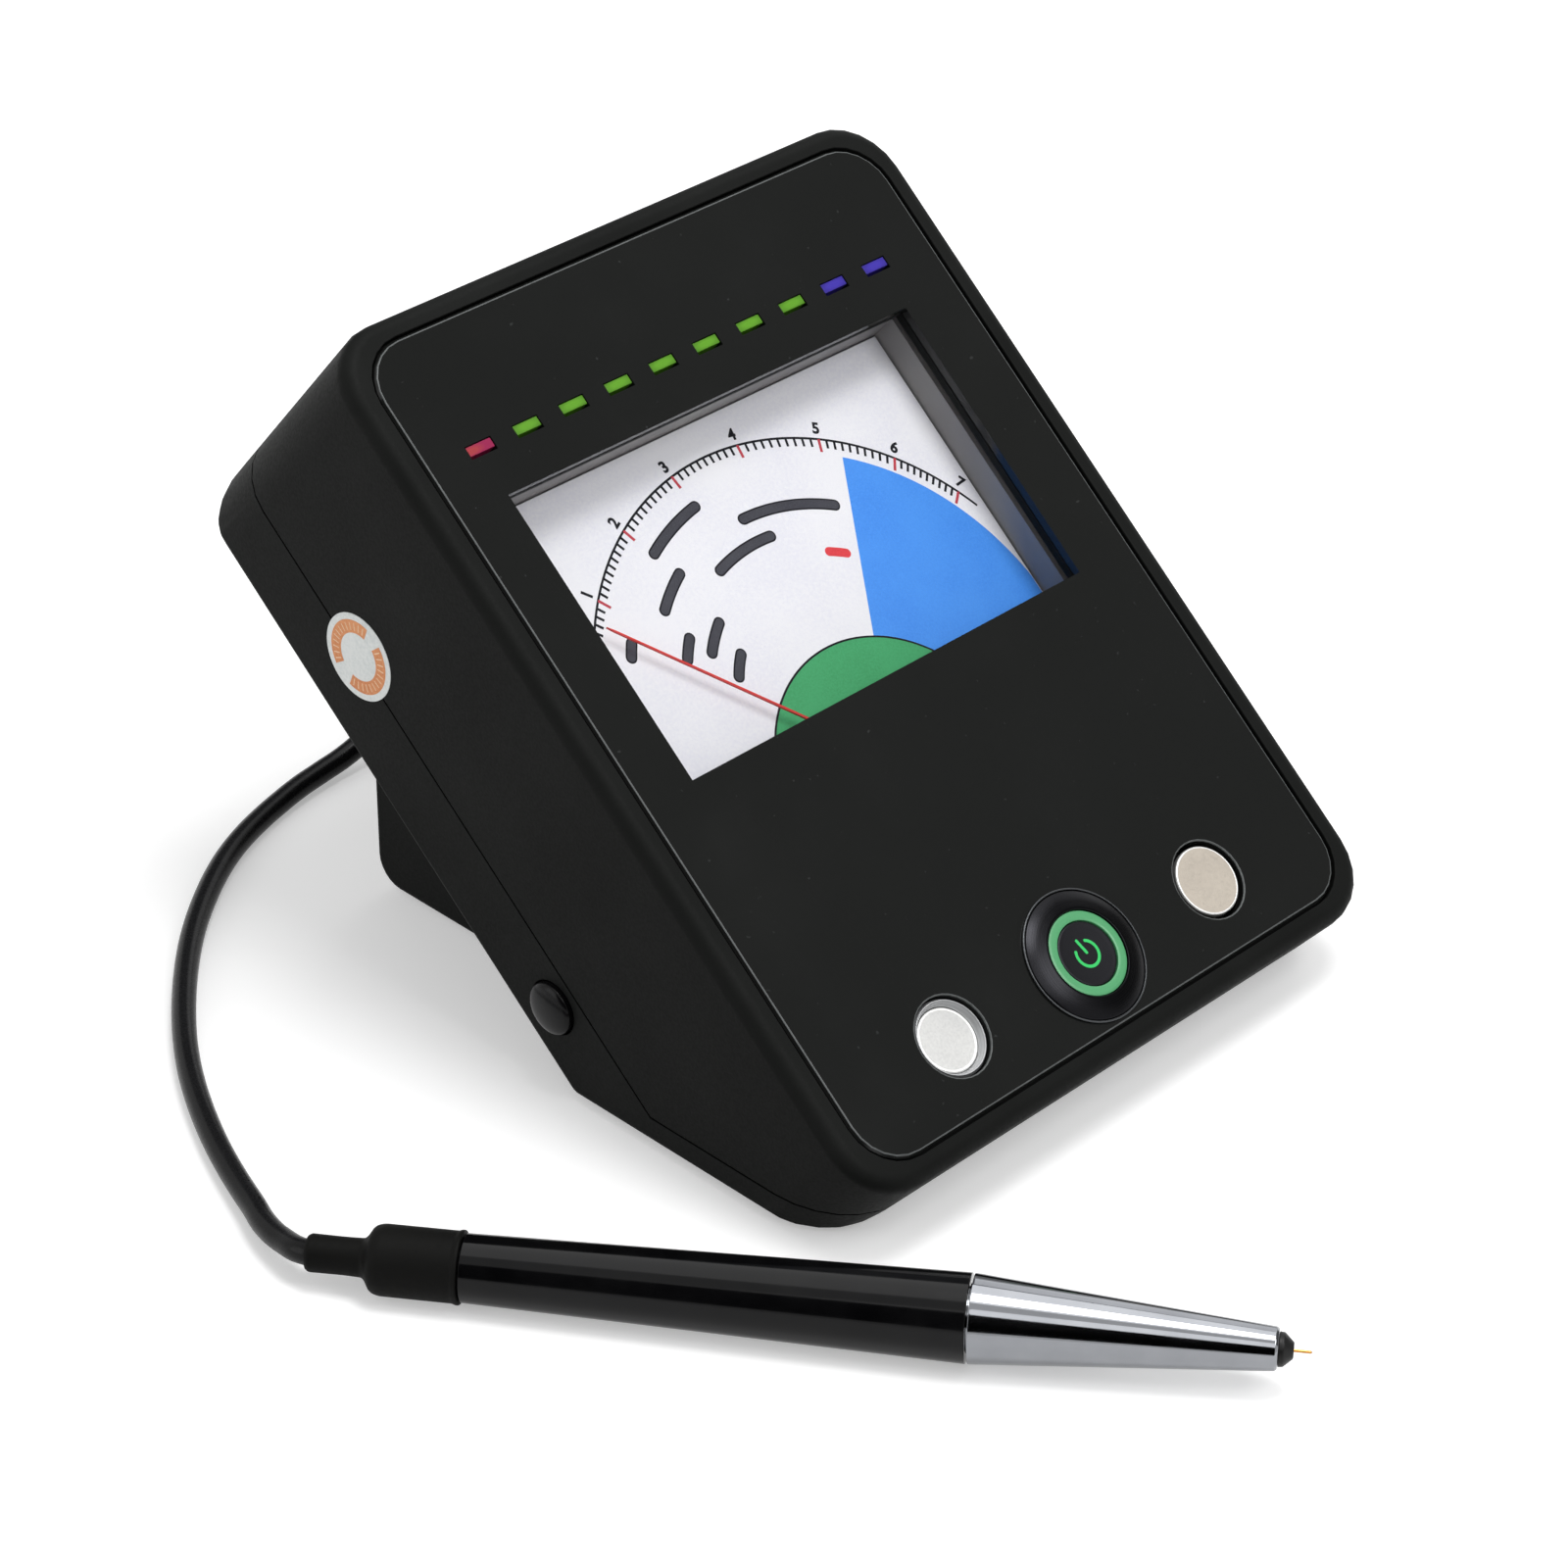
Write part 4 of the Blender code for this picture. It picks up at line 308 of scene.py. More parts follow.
@dataclass(frozen=True)
class PolishedSheet(Finish):
    """Cast sheet with its film peeled off: flat and glossy, with faint smears and a little dust."""

    smear: float = 24.0
    ripple: float = 9.0

    def dress(self) -> None:
        """Smears shift the gloss, and the peaks of fine noise are sparse pale specks of dust."""
        self.gloss(self.noise(self.smear, detail=4.0), less=0.04, more=0.06)
        self.vary(self.noise(self.grain, detail=0.0), start=0.84, end=0.90, most=0.12)
        self.emboss(self.noise(self.ripple))


@dataclass(frozen=True)
class SawnEdge(Finish):
    """Edge of a sheet as the cutter leaves it: frosted, with fine chatter marks, and pale enough to paint
    the highlight line that a bevel shows.
    """

    def dress(self) -> None:
        """Patches of more and less frosting in the colour and the relief."""
        frost = self.noise(self.grain)
        self.vary(frost)
        self.emboss(frost)


@dataclass(frozen=True)
class ClearSheet(Finish):
    """Clear polycarbonate window: hardly seen but for its gloss."""

    alpha: float = 0.05
    haze: float = 12.0

    def dress(self) -> None:
        """Low alpha, with slight haze in the gloss."""
        feed(self.shader, {"Alpha": self.alpha})
        self.gloss(self.noise(self.haze), less=0.0, more=self.roughness)


@dataclass(frozen=True)
class PrintedInk(Finish):
    """Screen-printed ink or coated card: an even colour with the print's fine mottle."""

    grains_to_cloud: float = 30.0

    def dress(self) -> None:
        """Two sizes of mottle, in the colour and in the gloss."""
        mottle = self.noise(self.grain, detail=1.0)
        slow = self.noise(self.grains_to_cloud * self.grain)
        both = add_node(self.tree, "Math", {0: mottle, 1: slow}, operation="MULTIPLY")[0]
        self.vary(both, start=0.15, end=0.40)
        self.gloss(mottle, less=0.05, more=0.05)


@dataclass(frozen=True)
class LitPlastic(Finish):
    """Tinted diffusing plastic with a lamp behind it, brightest at one spot of its face.

    Its face is one unit of surface coordinates, so the ripple is in thousandths of the face.
    """

    glow: float = 0.06
    brightest: Triple = (0.5, 0.5, 0.0)
    ripple: float = 350.0
    follows: Coordinates = Coordinates.SURFACE

    def dress(self) -> None:
        """Light falls off from the brightest spot, which the surface coordinates give."""
        ends = {0: self.spot(), 1: self.brightest}
        far = add_node(self.tree, "VectorMath", ends, operation="DISTANCE")["Value"]
        light = {"Emission Color": self.vary(far, start=0.25, end=0.62), "Emission Strength": self.glow}
        feed(self.shader, light)
        self.emboss(self.noise(self.ripple))


@dataclass(frozen=True)
class TurnedMetal(Finish):
    """Metal from the lathe: fine rings round the axis that stretch its highlights."""

    patches_in_turn: float = 0.02
    follows: Coordinates = Coordinates.SURFACE

    def dress(self) -> None:
        """Rings are noise along the profile's own length, with hardly any change round the turn."""
        rings = self.noise(self.grain, (self.patches_in_turn * self.grain * MM, 1, 1), detail=3.0)
        self.vary(rings)
        self.gloss(rings, less=0.05, more=0.08)
        self.emboss(rings)


@dataclass(frozen=True)
class GroundMetal(Finish):
    """Metal face ground on a belt: short fine scratches along one way."""

    along: Triple = (0.06, 1.0, 1.0)
    cloud: float = 8.0

    def dress(self) -> None:
        """Scratches are noise drawn out along the grinding, over slow clouds of tone."""
        scratches = self.noise(self.grain, self.along, detail=3.0)
        tone = {0: scratches, 1: self.noise(self.cloud)}
        self.vary(add_node(self.tree, "Math", tone, operation="ADD")[0], start=0.7, end=1.3)
        self.gloss(scratches, less=0.06, more=0.08)
        self.emboss(scratches)


@dataclass(frozen=True)
class PolishedPlate(Finish):
    """Bright plate or lacquer over a polished ground: a mirror with the polish's slow ripple."""

    smear: float = 6.0

    def dress(self) -> None:
        """Smears in the gloss and the tone, and a long, shallow ripple."""
        smears = self.noise(self.smear, detail=4.0)
        self.gloss(smears, less=0.0, more=0.05)
        self.vary(smears)
        self.emboss(self.noise(self.grain))


@dataclass(frozen=True)
class EtchedBoard(Finish):
    """Glass-fibre board under solder mask, with its copper tracks showing through."""

    track: float = 2.2
    track_shares: tuple[float, float] = (0.10, 0.14)
    pad_shares: tuple[float, float] = (0.16, 0.19)
    uneven_share: float = 0.6
    solder: str = "#c2c4c2"

    def dress(self) -> None:
        """Tracks follow the edges of square cells, and each cell's middle has a tinned pad."""
        cells = {"Vector": self.spot(), "Scale": 1 / (self.track * MM), "Randomness": self.uneven_share}
        edges = add_node(self.tree, "TexVoronoi", cells, feature="DISTANCE_TO_EDGE")[0]
        spots = add_node(self.tree, "TexVoronoi", cells, distance="CHEBYCHEV")[0]
        tracks, pads = (
            add_node(self.tree, "MapRange", {0: pattern, 1: start, 2: end, 3: 1.0, 4: 0.0})[0]
            for pattern, (start, end) in ((edges, self.track_shares), (spots, self.pad_shares))
        )
        inputs = {0: pads, 6: self.tint(tracks), 7: srgb(self.solder)}
        colour = add_node(self.tree, "Mix", inputs, data_type="RGBA")[2]
        feed(self.shader, {"Base Color": colour, "Metallic": pads})
        self.emboss(tracks)


@dataclass(frozen=True)
class WoundWire(Finish):
    """Enamelled wire laid turn by turn, so the surface is a row of fine round ridges."""

    wave_scale: float = 0.314
    unevenness: float = 0.4

    def dress(self) -> None:
        """Ridges are a sine along the coil, its scale over the wire's pitch, dark between turns."""
        scale = self.wave_scale / (self.grain * MM)
        inputs = {"Vector": self.spot(), "Scale": scale, "Distortion": self.unevenness}
        turns = add_node(self.tree, "TexWave", inputs, bands_direction="DIAGONAL")[1]
        self.tint(turns)
        self.emboss(turns)


@dataclass(frozen=True)
class FoilJacket(Finish):
    """Printed foil round a dry cell: one plain colour with bare metal at both ends."""

    low: float = 32.5
    high: float = 81.2
    blur: float = 0.1

    def dress(self) -> None:
        """The bare ends start where the jacket's length along the base ends."""
        middle, half = (self.high + self.low) / 2 * MM, (self.high - self.low) / 2 * MM
        along = add_node(self.tree, "SeparateXYZ", {0: self.spot()})[1]
        away = add_node(self.tree, "Math", {0: along, 1: middle}, operation="SUBTRACT")[0]
        reach = add_node(self.tree, "Math", {0: away}, operation="ABSOLUTE")[0]
        bare = {0: reach, 1: half - self.blur * MM, 2: half + self.blur * MM}
        bare = add_node(self.tree, "MapRange", bare)[0]
        self.tint(bare)
        feed(self.shader, {"Metallic": bare})
        self.emboss(self.noise(self.grain))


# The numbers of a finish are its roughness, metallic, specular level, grain and relief. Grains
# that are too fine for the picture are drawn as coarse as they need to show.

# Spark-eroded ABS: matt, near black, its pits swallow most of the gloss
HOUSING = SparkTextured("spark_textured_black_abs", "#121312", "#171817", 0.55, 0, 0.05, 0.5, 0.02)
# Glossy cast acrylic, black right through: a soft clear reflection over a deep ground
SHEET = PolishedSheet("cast_black_acrylic", "#181918", "#6d7070", 0.14, 0, 0.30, 0.9, 0.001)
# The same acrylic where the cutter bevelled it: frosted, and paler than the face, which paints the thin
# highlight line along the bevel
SHEET_EDGE_HIGHLIGHT = SawnEdge("cut_acrylic_edge_and_highlight", "#585b5b", "#4a4d4d", 0.35, 0, 0.25, 0.8, 0.003)
# Hard-coated polycarbonate: clear, so its own colour is dark and veils nothing behind it
LENS = ClearSheet("clear_polycarbonate", "#15171a", roughness=0.04)
# Grey moulded styrene with a satin grain, its pale grey partly painting the dial's light reflected in the
# window's walls
CASE = SparkTextured("satin_grey_styrene", "#8f8e8c", "#838081", 0.42, 0, 0.3, 0.4, 0.006)
# Coated scale card: matt white with a cool cast
CARD = PrintedInk("coated_scale_card", "#f6f6fb", "#eeeef7", 0.55, 0, 0.35, 0.5)
# Screen inks on the card: flat and satin, the colours full and the dark ones short of black
BLUE_INK = PrintedInk("blue_screen_ink", "#4a9bfb", "#4090f4", 0.5, 0, 0.3, 0.35)
GREEN_INK = PrintedInk("green_screen_ink", "#42aa6d", "#399f62", 0.5, 0, 0.3, 0.35)
BLACK_INK = PrintedInk("black_screen_ink", "#17171c", "#222229", 0.5, 0, 0.12, 0.2)
GREY_INK = PrintedInk("dark_grey_screen_ink", "#4a4a52", "#3f3f47", 0.5, 0, 0.15, 0.2)
RED_INK = PrintedInk("red_screen_ink", "#f0434b", "#d8363f", 0.5, 0, 0.3, 0.2)
MAJOR_INK = PrintedInk("rose_screen_ink", "#c9404f", "#b93646", 0.5, 0, 0.3, 0.2)
# Lacquered aluminium blade: satin red that stays bright on the pale card
NEEDLE_LACQUER = PrintedInk("red_needle_lacquer", "#e4322c", "#d42a26", 0.35, grain=0.3)
# Diffusing epoxy with a lit chip behind it: it glows softly and darkens to its edges
RED_LAMP = LitPlastic(
    "red_diffused_epoxy", "#9c353b", "#8c1d48", 0.3, 0, 0.25, relief=0.002, brightest=(0.1, 0.5, 0)
)
GREEN_LAMP = LitPlastic("green_diffused_epoxy", "#5a9424", "#47791b", 0.3, 0, 0.25, relief=0.002)
BLUE_LAMP = LitPlastic("violet_diffused_epoxy", "#3c2f9c", "#2f2580", 0.3, 0, 0.25, relief=0.002)
# Opal polycarbonate over green lamps: a soft, flat light
RING_LIGHT = LitPlastic("opal_green_light_guide", "#4f9c68", "#48945f", 0.35, relief=0.001, glow=0.04)
# The same light through a sign that a laser opened in the cap: crisp and brighter
SYMBOL_LIGHT = LitPlastic("laser_opened_light_symbol", "#25b85a", "#22ad54", 0.4, glow=0.18)
# Hard-anodised aluminium, dyed black after turning: lathe rings spread its highlight into a fan
BEZEL = TurnedMetal("black_anodised_turned_aluminium", "#212123", "#19191b", 0.26, 1, 0.5, 0.09, 0.006)
# The same dye on a blunter face: a dull charcoal with a weak sheen
CAP = TurnedMetal("black_anodised_cap", "#303033", "#29292c", 0.40, 1, 0.5, 0.12, 0.003)
# The bezel's outer lip: grey aluminium lighter than the dyed cone, which paints the thin highlight line
# round the bezel
LIP = TurnedMetal("aluminium_lip_painted_highlight", "#5a5c5e", "#4c4e50", 0.36, 1, 0.5, 0.1, 0.003)
# Free-cutting aluminium, faced and then vapour-blasted: pale and nearly white
PALE_DISC = GroundMetal("blasted_aluminium", "#c9c9c7", "#bebebd", 0.60, 1, 0.5, 0.45, 0.004, along=EVEN)
# Cupro-nickel, blasted and lapped: warm, pale and faintly clouded
WARM_DISC = GroundMetal("lapped_cupro_nickel", "#c5bdb1", "#b8b0a5", 0.52, 1, 0.5, 0.6, 0.003, along=EVEN)
# Both discs have their edge turned bright, and its near-white colour paints the highlight line round the
# face
DISC_EDGE_HIGHLIGHT = TurnedMetal("turned_edge_painted_highlight", "#fafaf8", "#e6e6e4", 0.45, 1, 0.5, 0.1, 0.001)
# Aluminium cup with the tool's rings left in its bore, so its wall is streaked light and dark
CUP_METAL = TurnedMetal("turned_aluminium", "#cdcecf", "#8a8b8d", 0.58, 1, 0.5, 0.2, 0.008)
# Zinc plate over steel: bluish grey, satin and slightly uneven
STEEL = GroundMetal("zinc_plated_steel", "#b9bbbd", "#a3a5a8", 0.30, 1, 0.5, 0.3, 0.002)
# Nickel plate over spring steel: a warmer and brighter grey
SPRING = GroundMetal("nickel_plated_spring_steel", "#c7c6c0", "#b2b1aa", 0.26, 1, 0.5, 0.3, 0.002)
# Bright chrome on polished brass: a mirror
CHROME = PolishedPlate("bright_chrome_plate", "#8e9094", "#87898d", 0.05, 1, 0.5, 14, 0.02)
# Copper pin under a thin flash of gold: warm, soft reflections
COPPER = PolishedPlate("gold_flashed_copper", "#c98f4e", "#b87e3f", 0.22, 1, 0.5, 1, 0.001)
# Black lacquered tube, polished: long clear highlights
BARREL = PolishedPlate("polished_black_lacquer", "#050506", "#0b0b0c", 0.10, 0, 0.18, 20, 0.008)
# Moulded acetal: black with one broad, soft highlight
KNOB = PolishedPlate("smooth_black_acetal", "#080809", "#111112", 0.20, 0, 0.14, 3, 0.002)
# Polyolefin shrink tube: satin, with a slightly leathery skin
SHRINK = SparkTextured("black_shrink_tube", "#0d0d0c", "#121211", 0.55, 0, 0.05, 0.8, 0.02)
# Nitrile rubber: dull black with hardly a highlight
RUBBER = SparkTextured("black_nitrile_rubber", "#151515", "#1c1c1c", 0.72, 0, 0.3, 0.3, 0.01)
# Flexible PVC: satin, with a soft long highlight
JACKET = SparkTextured("black_flexible_pvc", "#080809", "#0f0f10", 0.28, 0, 0.14, 0.5, 0.004)
# Moulded nylon: black and semi-matt
NYLON = SparkTextured("black_moulded_nylon", "#0e0e0e", "#191919", 0.42, 0, 0.2, 0.3, 0.003)
# Solder mask over etched copper: deep green with paler tracks and tinned pads
BOARD = EtchedBoard("green_solder_mask", "#124b24", "#1f6a36", 0.38, relief=0.02)
# Enamelled wire: copper brown ridges with dark lines between them
WINDING = WoundWire("enamelled_copper_winding", "#c46a37", "#5c2c14", 0.30, 0.9, 0.5, 0.18, 0.05)
# Annealed iron, ground: a plain mid grey
IRON = GroundMetal("annealed_soft_iron", "#7c7c80", "#6a6a6e", 0.45, 1, 0.5, 0.5, 0.004)
# Stamped sheet brass: yellow with fine rolling marks
BRASS = GroundMetal("stamped_brass", "#c9a15a", "#b48b45", 0.30, 1, 0.5, 0.4, 0.002)
# Printed foil on a cell: satin blue between bright bare ends
CELL = FoilJacket("printed_cell_foil", "#27415c", "#c3c4c4", 0.32, 0, 0.5, 5, 0.004)
# Label stock with two printed inks: off-white paper, orange arcs and pale rays
SEAL_PAPER = PrintedInk("seal_label_stock", "#dfe2e0", "#cdd2d1", 0.40)
SEAL_INK = PrintedInk("orange_label_ink", "#d98d52", "#c9763b", 0.42, grain=0.4)
SEAL_LINE = PrintedInk("pale_label_line", "#ecc9a4", "#e6bb92", 0.42, grain=0.3)


def ways(angles: Array) -> Array:
    """Unit vectors at these angles in radians, one row each."""
    return np.stack([np.cos(angles), np.sin(angles)], axis=1)


def unit(rows: Array) -> Array:
    """The same vectors, each made one long."""
    return rows / np.linalg.norm(rows, axis=-1, keepdims=True)


def leftward(rows: Array) -> Array:
    """Each vector of the plane turned left by a quarter."""
    return np.stack([-rows[:, 1], rows[:, 0]], axis=1)


def run_along(line: Array) -> Array:
    """How far along a line each of its points lies."""
    return np.r_[0, np.cumsum(np.linalg.norm(np.diff(line, axis=0), axis=1))]


def softened(points: Array, cut: Array | float, steps: int = 5) -> Array:
    """Rounds an open line's inner corners.

    Each corner P gives way to the curve P + a (1 - s)^2 + b s^2, where a and b reach back and
    ahead along the two sides by the cut, or by 0.45 of the side where that is shorter.

    Args:
        points: The line's corners, one row each.
        cut: How far each inner corner's curve reaches along its sides.
        steps: Number of points on each curve.

    Returns:
        The rounded line's points.
    """
    back = points[:-2] - points[1:-1]
    ahead = points[2:] - points[1:-1]
    back_length = np.linalg.norm(back, axis=1, keepdims=True)
    ahead_length = np.linalg.norm(ahead, axis=1, keepdims=True)
    longest = LONGEST_CUT_SHARE * np.minimum(back_length, ahead_length)
    reach = np.minimum(np.broadcast_to(cut, len(back))[:, None], longest)
    s = np.linspace(0, 1, steps)[None, :, None]
    start = (back / back_length * reach)[:, None]
    end = (ahead / ahead_length * reach)[:, None]
    curves = points[1:-1, None] + start * (1 - s) ** 2 + end * s**2
    return np.vstack([points[:1], curves.reshape(-1, points.shape[1]), points[-1:]])


def turned(profile: Array, steps: int = ROUND) -> tuple[Array, Array]:
    """A turned surface: (r(s) cos a, r(s) sin a, z(s)) over the turn a and the profile's place s.

    Args:
        profile: Radius and height of each point of the profile, in metres.
        steps: Facets round the axis.

    Returns:
        The grid of points, and its turn and profile length as surface coordinates.
    """
    a = np.linspace(0, math.tau, steps + 1)
    r, z = profile[:, :1], profile[:, 1:]
    grid = np.stack(np.broadcast_arrays(r * np.cos(a), r * np.sin(a), z), axis=-1)
    return grid, np.stack(np.broadcast_arrays(a / math.tau, run_along(profile)[:, None]), axis=-1)


def layered(outline: Array, inwards: Array, heights: Array) -> tuple[Array, Array]:
    """A solid from copies of one outline, each moved in and raised.

    A point moves in along the mitre of its two sides, (na + nb) / (1 + na . nb) times the amount,
    where na and nb point inwards from the sides.

    Args:
        outline: The outline, anticlockwise, in metres.
        inwards: How far each layer is moved in.
        heights: Each layer's height.

    Returns:
        The grid of points, and surface coordinates from 0 to 1 across the outline.
    """
    inward = leftward(unit(np.roll(outline, -1, axis=0) - outline))
    before = np.roll(inward, 1, axis=0)
    mitre = (before + inward) / (1 + np.sum(before * inward, axis=1, keepdims=True))
    flat = outline + inwards[:, None, None] * mitre
    flat = np.concatenate([flat, flat[:, :1]], axis=1)
    rise = np.broadcast_to(heights[:, None, None], (*flat.shape[:2], 1))
    low, high = outline.min(axis=0), outline.max(axis=0)
    return np.concatenate([flat, rise], axis=2), (flat - low) / (high - low)


def slab(outline: Array, low: float, high: float, edge: float, steps: int = 4) -> tuple[Array, Array]:
    """A plate with a rounded upper edge.

    Its wall is the outline moved in by edge (1 - cos a) at the height high - edge (1 - sin a),
    with a from 0 to a quarter turn, over a straight part from low.

    Args:
        outline: The plate's outline, anticlockwise, in metres.
        low: Height of its underside.
        high: Height of its face.
        edge: Radius of its upper edge.
        steps: Points on the rounding.

    Returns:
        What layered returns.
    """
    a = np.linspace(0, QUARTER, steps)
    return layered(outline, np.r_[0, edge * (1 - np.cos(a))], np.r_[low, high - edge * (1 - np.sin(a))])


def rounded_rectangle(width: float, height: float, radius: float, steps: int) -> Array:
    """Outline of a rectangle with round corners, about its middle.

    The corners' centres sit in from the sides by the radius, and each has a quarter circle.

    Args:
        width: Full width.
        height: Full height.
        radius: The corners' radius.
        steps: Points on each corner.

    Returns:
        The outline, anticlockwise.
    """
    a = (np.arange(4)[:, None] * QUARTER + np.linspace(0, QUARTER, steps)).ravel()
    centres = np.repeat(-CORNERS * (np.array([width, height]) / 2 - radius), steps, axis=0)
    return centres + radius * ways(a)


def arc(centre: Array | tuple, radius: float, start: float, end: float, steps: int = 48) -> Array:
    """Points on a circle from one angle to another, in degrees."""
    return np.array(centre) + radius * ways(np.radians(np.linspace(start, end, steps)))


def arc_bar(centre: Array | tuple, bar: Triple, width: float, round_ends: bool = True) -> Array:
    """Outline of a band that follows a circle.

    The outer side runs forward on the radius plus half the width, the inner one runs back, and a
    half circle closes each end where the ends are round.

    Args:
        centre: The circle's middle.
        bar: The band's middle radius, and the angles of its ends in degrees.
        width: The band's width.
        round_ends: Whether half circles close it.

    Returns:
        The outline, anticlockwise.
    """
    radius, start, end = bar
    half = width / 2
    outer, inner = arc(centre, radius + half, start, end), arc(centre, radius - half, end, start)
    if not round_ends:
        return np.vstack([outer, inner])
    last = arc(arc(centre, radius, end, end, 1)[0], half, end, end + 180, 10)[1:-1]
    first = arc(arc(centre, radius, start, start, 1)[0], half, start + 180, start + 360, 10)[1:-1]
    return np.vstack([outer, last, inner, first])


def column(rows: bpy.types.bpy_prop_collection, field: str, kind: type, width: int = 1) -> Array:
    """One field of a mesh's table, for all its rows.

    Args:
        rows: The table, such as a mesh's edges.
        field: The field's name.
        kind: The numbers' type.
        width: How many numbers the field has.

    Returns:
        The numbers, with a column for each where there are several.
    """
    values = np.empty(len(rows) * width, dtype=kind)
    rows.foreach_get(field, values)
    return values.reshape(-1, width) if width > 1 else values


def mesh_of(name: str, points: Array, faces: list[list[int]], place: Array) -> bpy.types.Mesh:
    """A mesh whose points a frame carries to the world.

    Args:
        name: The mesh's name.
        points: Points in the frame, one row each.
        faces: The numbers of each face's points.
        place: The frame's matrix.

    Returns:
        The mesh.
    """
    mesh = bpy.data.meshes.new(name)
    mesh.from_pydata((points @ place[:3, :3].T + place[:3, 3]).tolist(), [], faces)
    return mesh


def tidied(mesh: bpy.types.Mesh, joined: bool = False) -> bpy.types.Mesh:
    """Merges a mesh's doubles, turns its faces outwards and shades it smooth but for its edges.

    Args:
        mesh: The mesh, changed in place.
        joined: Whether its coplanar faces are made one, as a CAD node's are.

    Returns:
        The same mesh.
    """
    shape = bmesh.new()
    shape.from_mesh(mesh)
    bmesh.ops.remove_doubles(shape, verts=shape.verts, dist=NODE_MERGE if joined else MERGE)
    if joined:
        bmesh.ops.dissolve_limit(shape, angle_limit=FLAT, verts=shape.verts, edges=shape.edges)
    else:
        bmesh.ops.recalc_face_normals(shape, faces=shape.faces)
    shape.to_mesh(mesh)
    shape.free()
    if "custom_normal" in mesh.attributes:
        mesh.attributes.remove(mesh.attributes["custom_normal"])
    mesh.shade_smooth()
    mesh.set_sharp_from_angle(angle=SMOOTH)
    return mesh


def mesh_from_grid(name: str, shape: tuple[Array, Array], place: Array) -> bpy.types.Mesh:
    """A closed mesh from a grid of points whose last column repeats the first.

    Quads join neighbours, and the first and last rows are closed by a face each unless they are
    one and the same.

    Args:
        name: The mesh's name.
        shape: Points and surface coordinates, by row and column.
        place: The frame that carries the points to the world.

    Returns:
        The mesh.
    """
    grid, flat = shape
    rows, columns = grid.shape[:2]
    number = np.arange(rows * columns).reshape(rows, columns)
    quads = np.stack([number[:-1, :-1], number[:-1, 1:], number[1:, 1:], number[1:, :-1]], axis=-1)
    ends = () if np.allclose(grid[0], grid[-1], atol=MERGE) else (0, rows - 1)
    closing = [number[k, :-1].tolist() for k in ends if np.ptp(grid[k], axis=0).max() > MERGE]
    mesh = mesh_of(name, grid.reshape(-1, 3), quads.reshape(-1, 4).tolist() + closing, place)
    corners = column(mesh.loops, "vertex_index", np.int32)
    layer = mesh.uv_layers.new(name="surface")
    layer.data.foreach_set("uv", flat.reshape(-1, 2)[corners].astype(np.float32).ravel())
    return tidied(mesh)


def strokes(
    name: str, ends: tuple[Array, Array], width: float, heights: tuple[float, float], place: Array
) -> bpy.types.Mesh:
    """Many straight printed strokes as one mesh.

    A stroke's corners are its start and end, each moved sideways by plus and minus half the
    width, at both heights.

    Args:
        name: The mesh's name.
        ends: Start points and end points on the plane, one row each.
        width: The strokes' width.
        heights: Heights of the underside and of the face.
        place: The frame that carries the points to the world.

    Returns:
        The mesh.
    """
    start, end = ends
    aside = leftward(unit(end - start)) * width / 2
    flat = np.stack([start - aside, end - aside, end + aside, start + aside] * 2, axis=1)
    rise = np.broadcast_to(np.repeat(heights, 4)[:, None], (len(start), 8, 1))
    points = np.concatenate([flat, rise], axis=2)
    box = np.array([[3, 2, 1, 0], [4, 5, 6, 7], [0, 1, 5, 4], [1, 2, 6, 5], [2, 3, 7, 6], [3, 0, 4, 7]])
    faces = (np.arange(len(start))[:, None, None] * 8 + box).reshape(-1, 4)
    return tidied(mesh_of(name, points.reshape(-1, 3), faces.tolist(), place))


def linked(name: str, data: bpy.types.ID) -> bpy.types.Object:
    """Puts an object into the scene.

    Args:
        name: The object's name.
        data: What it shows.

    Returns:
        The object.
    """
    made = bpy.data.objects.new(name, data)
    bpy.context.scene.collection.objects.link(made)
    return made


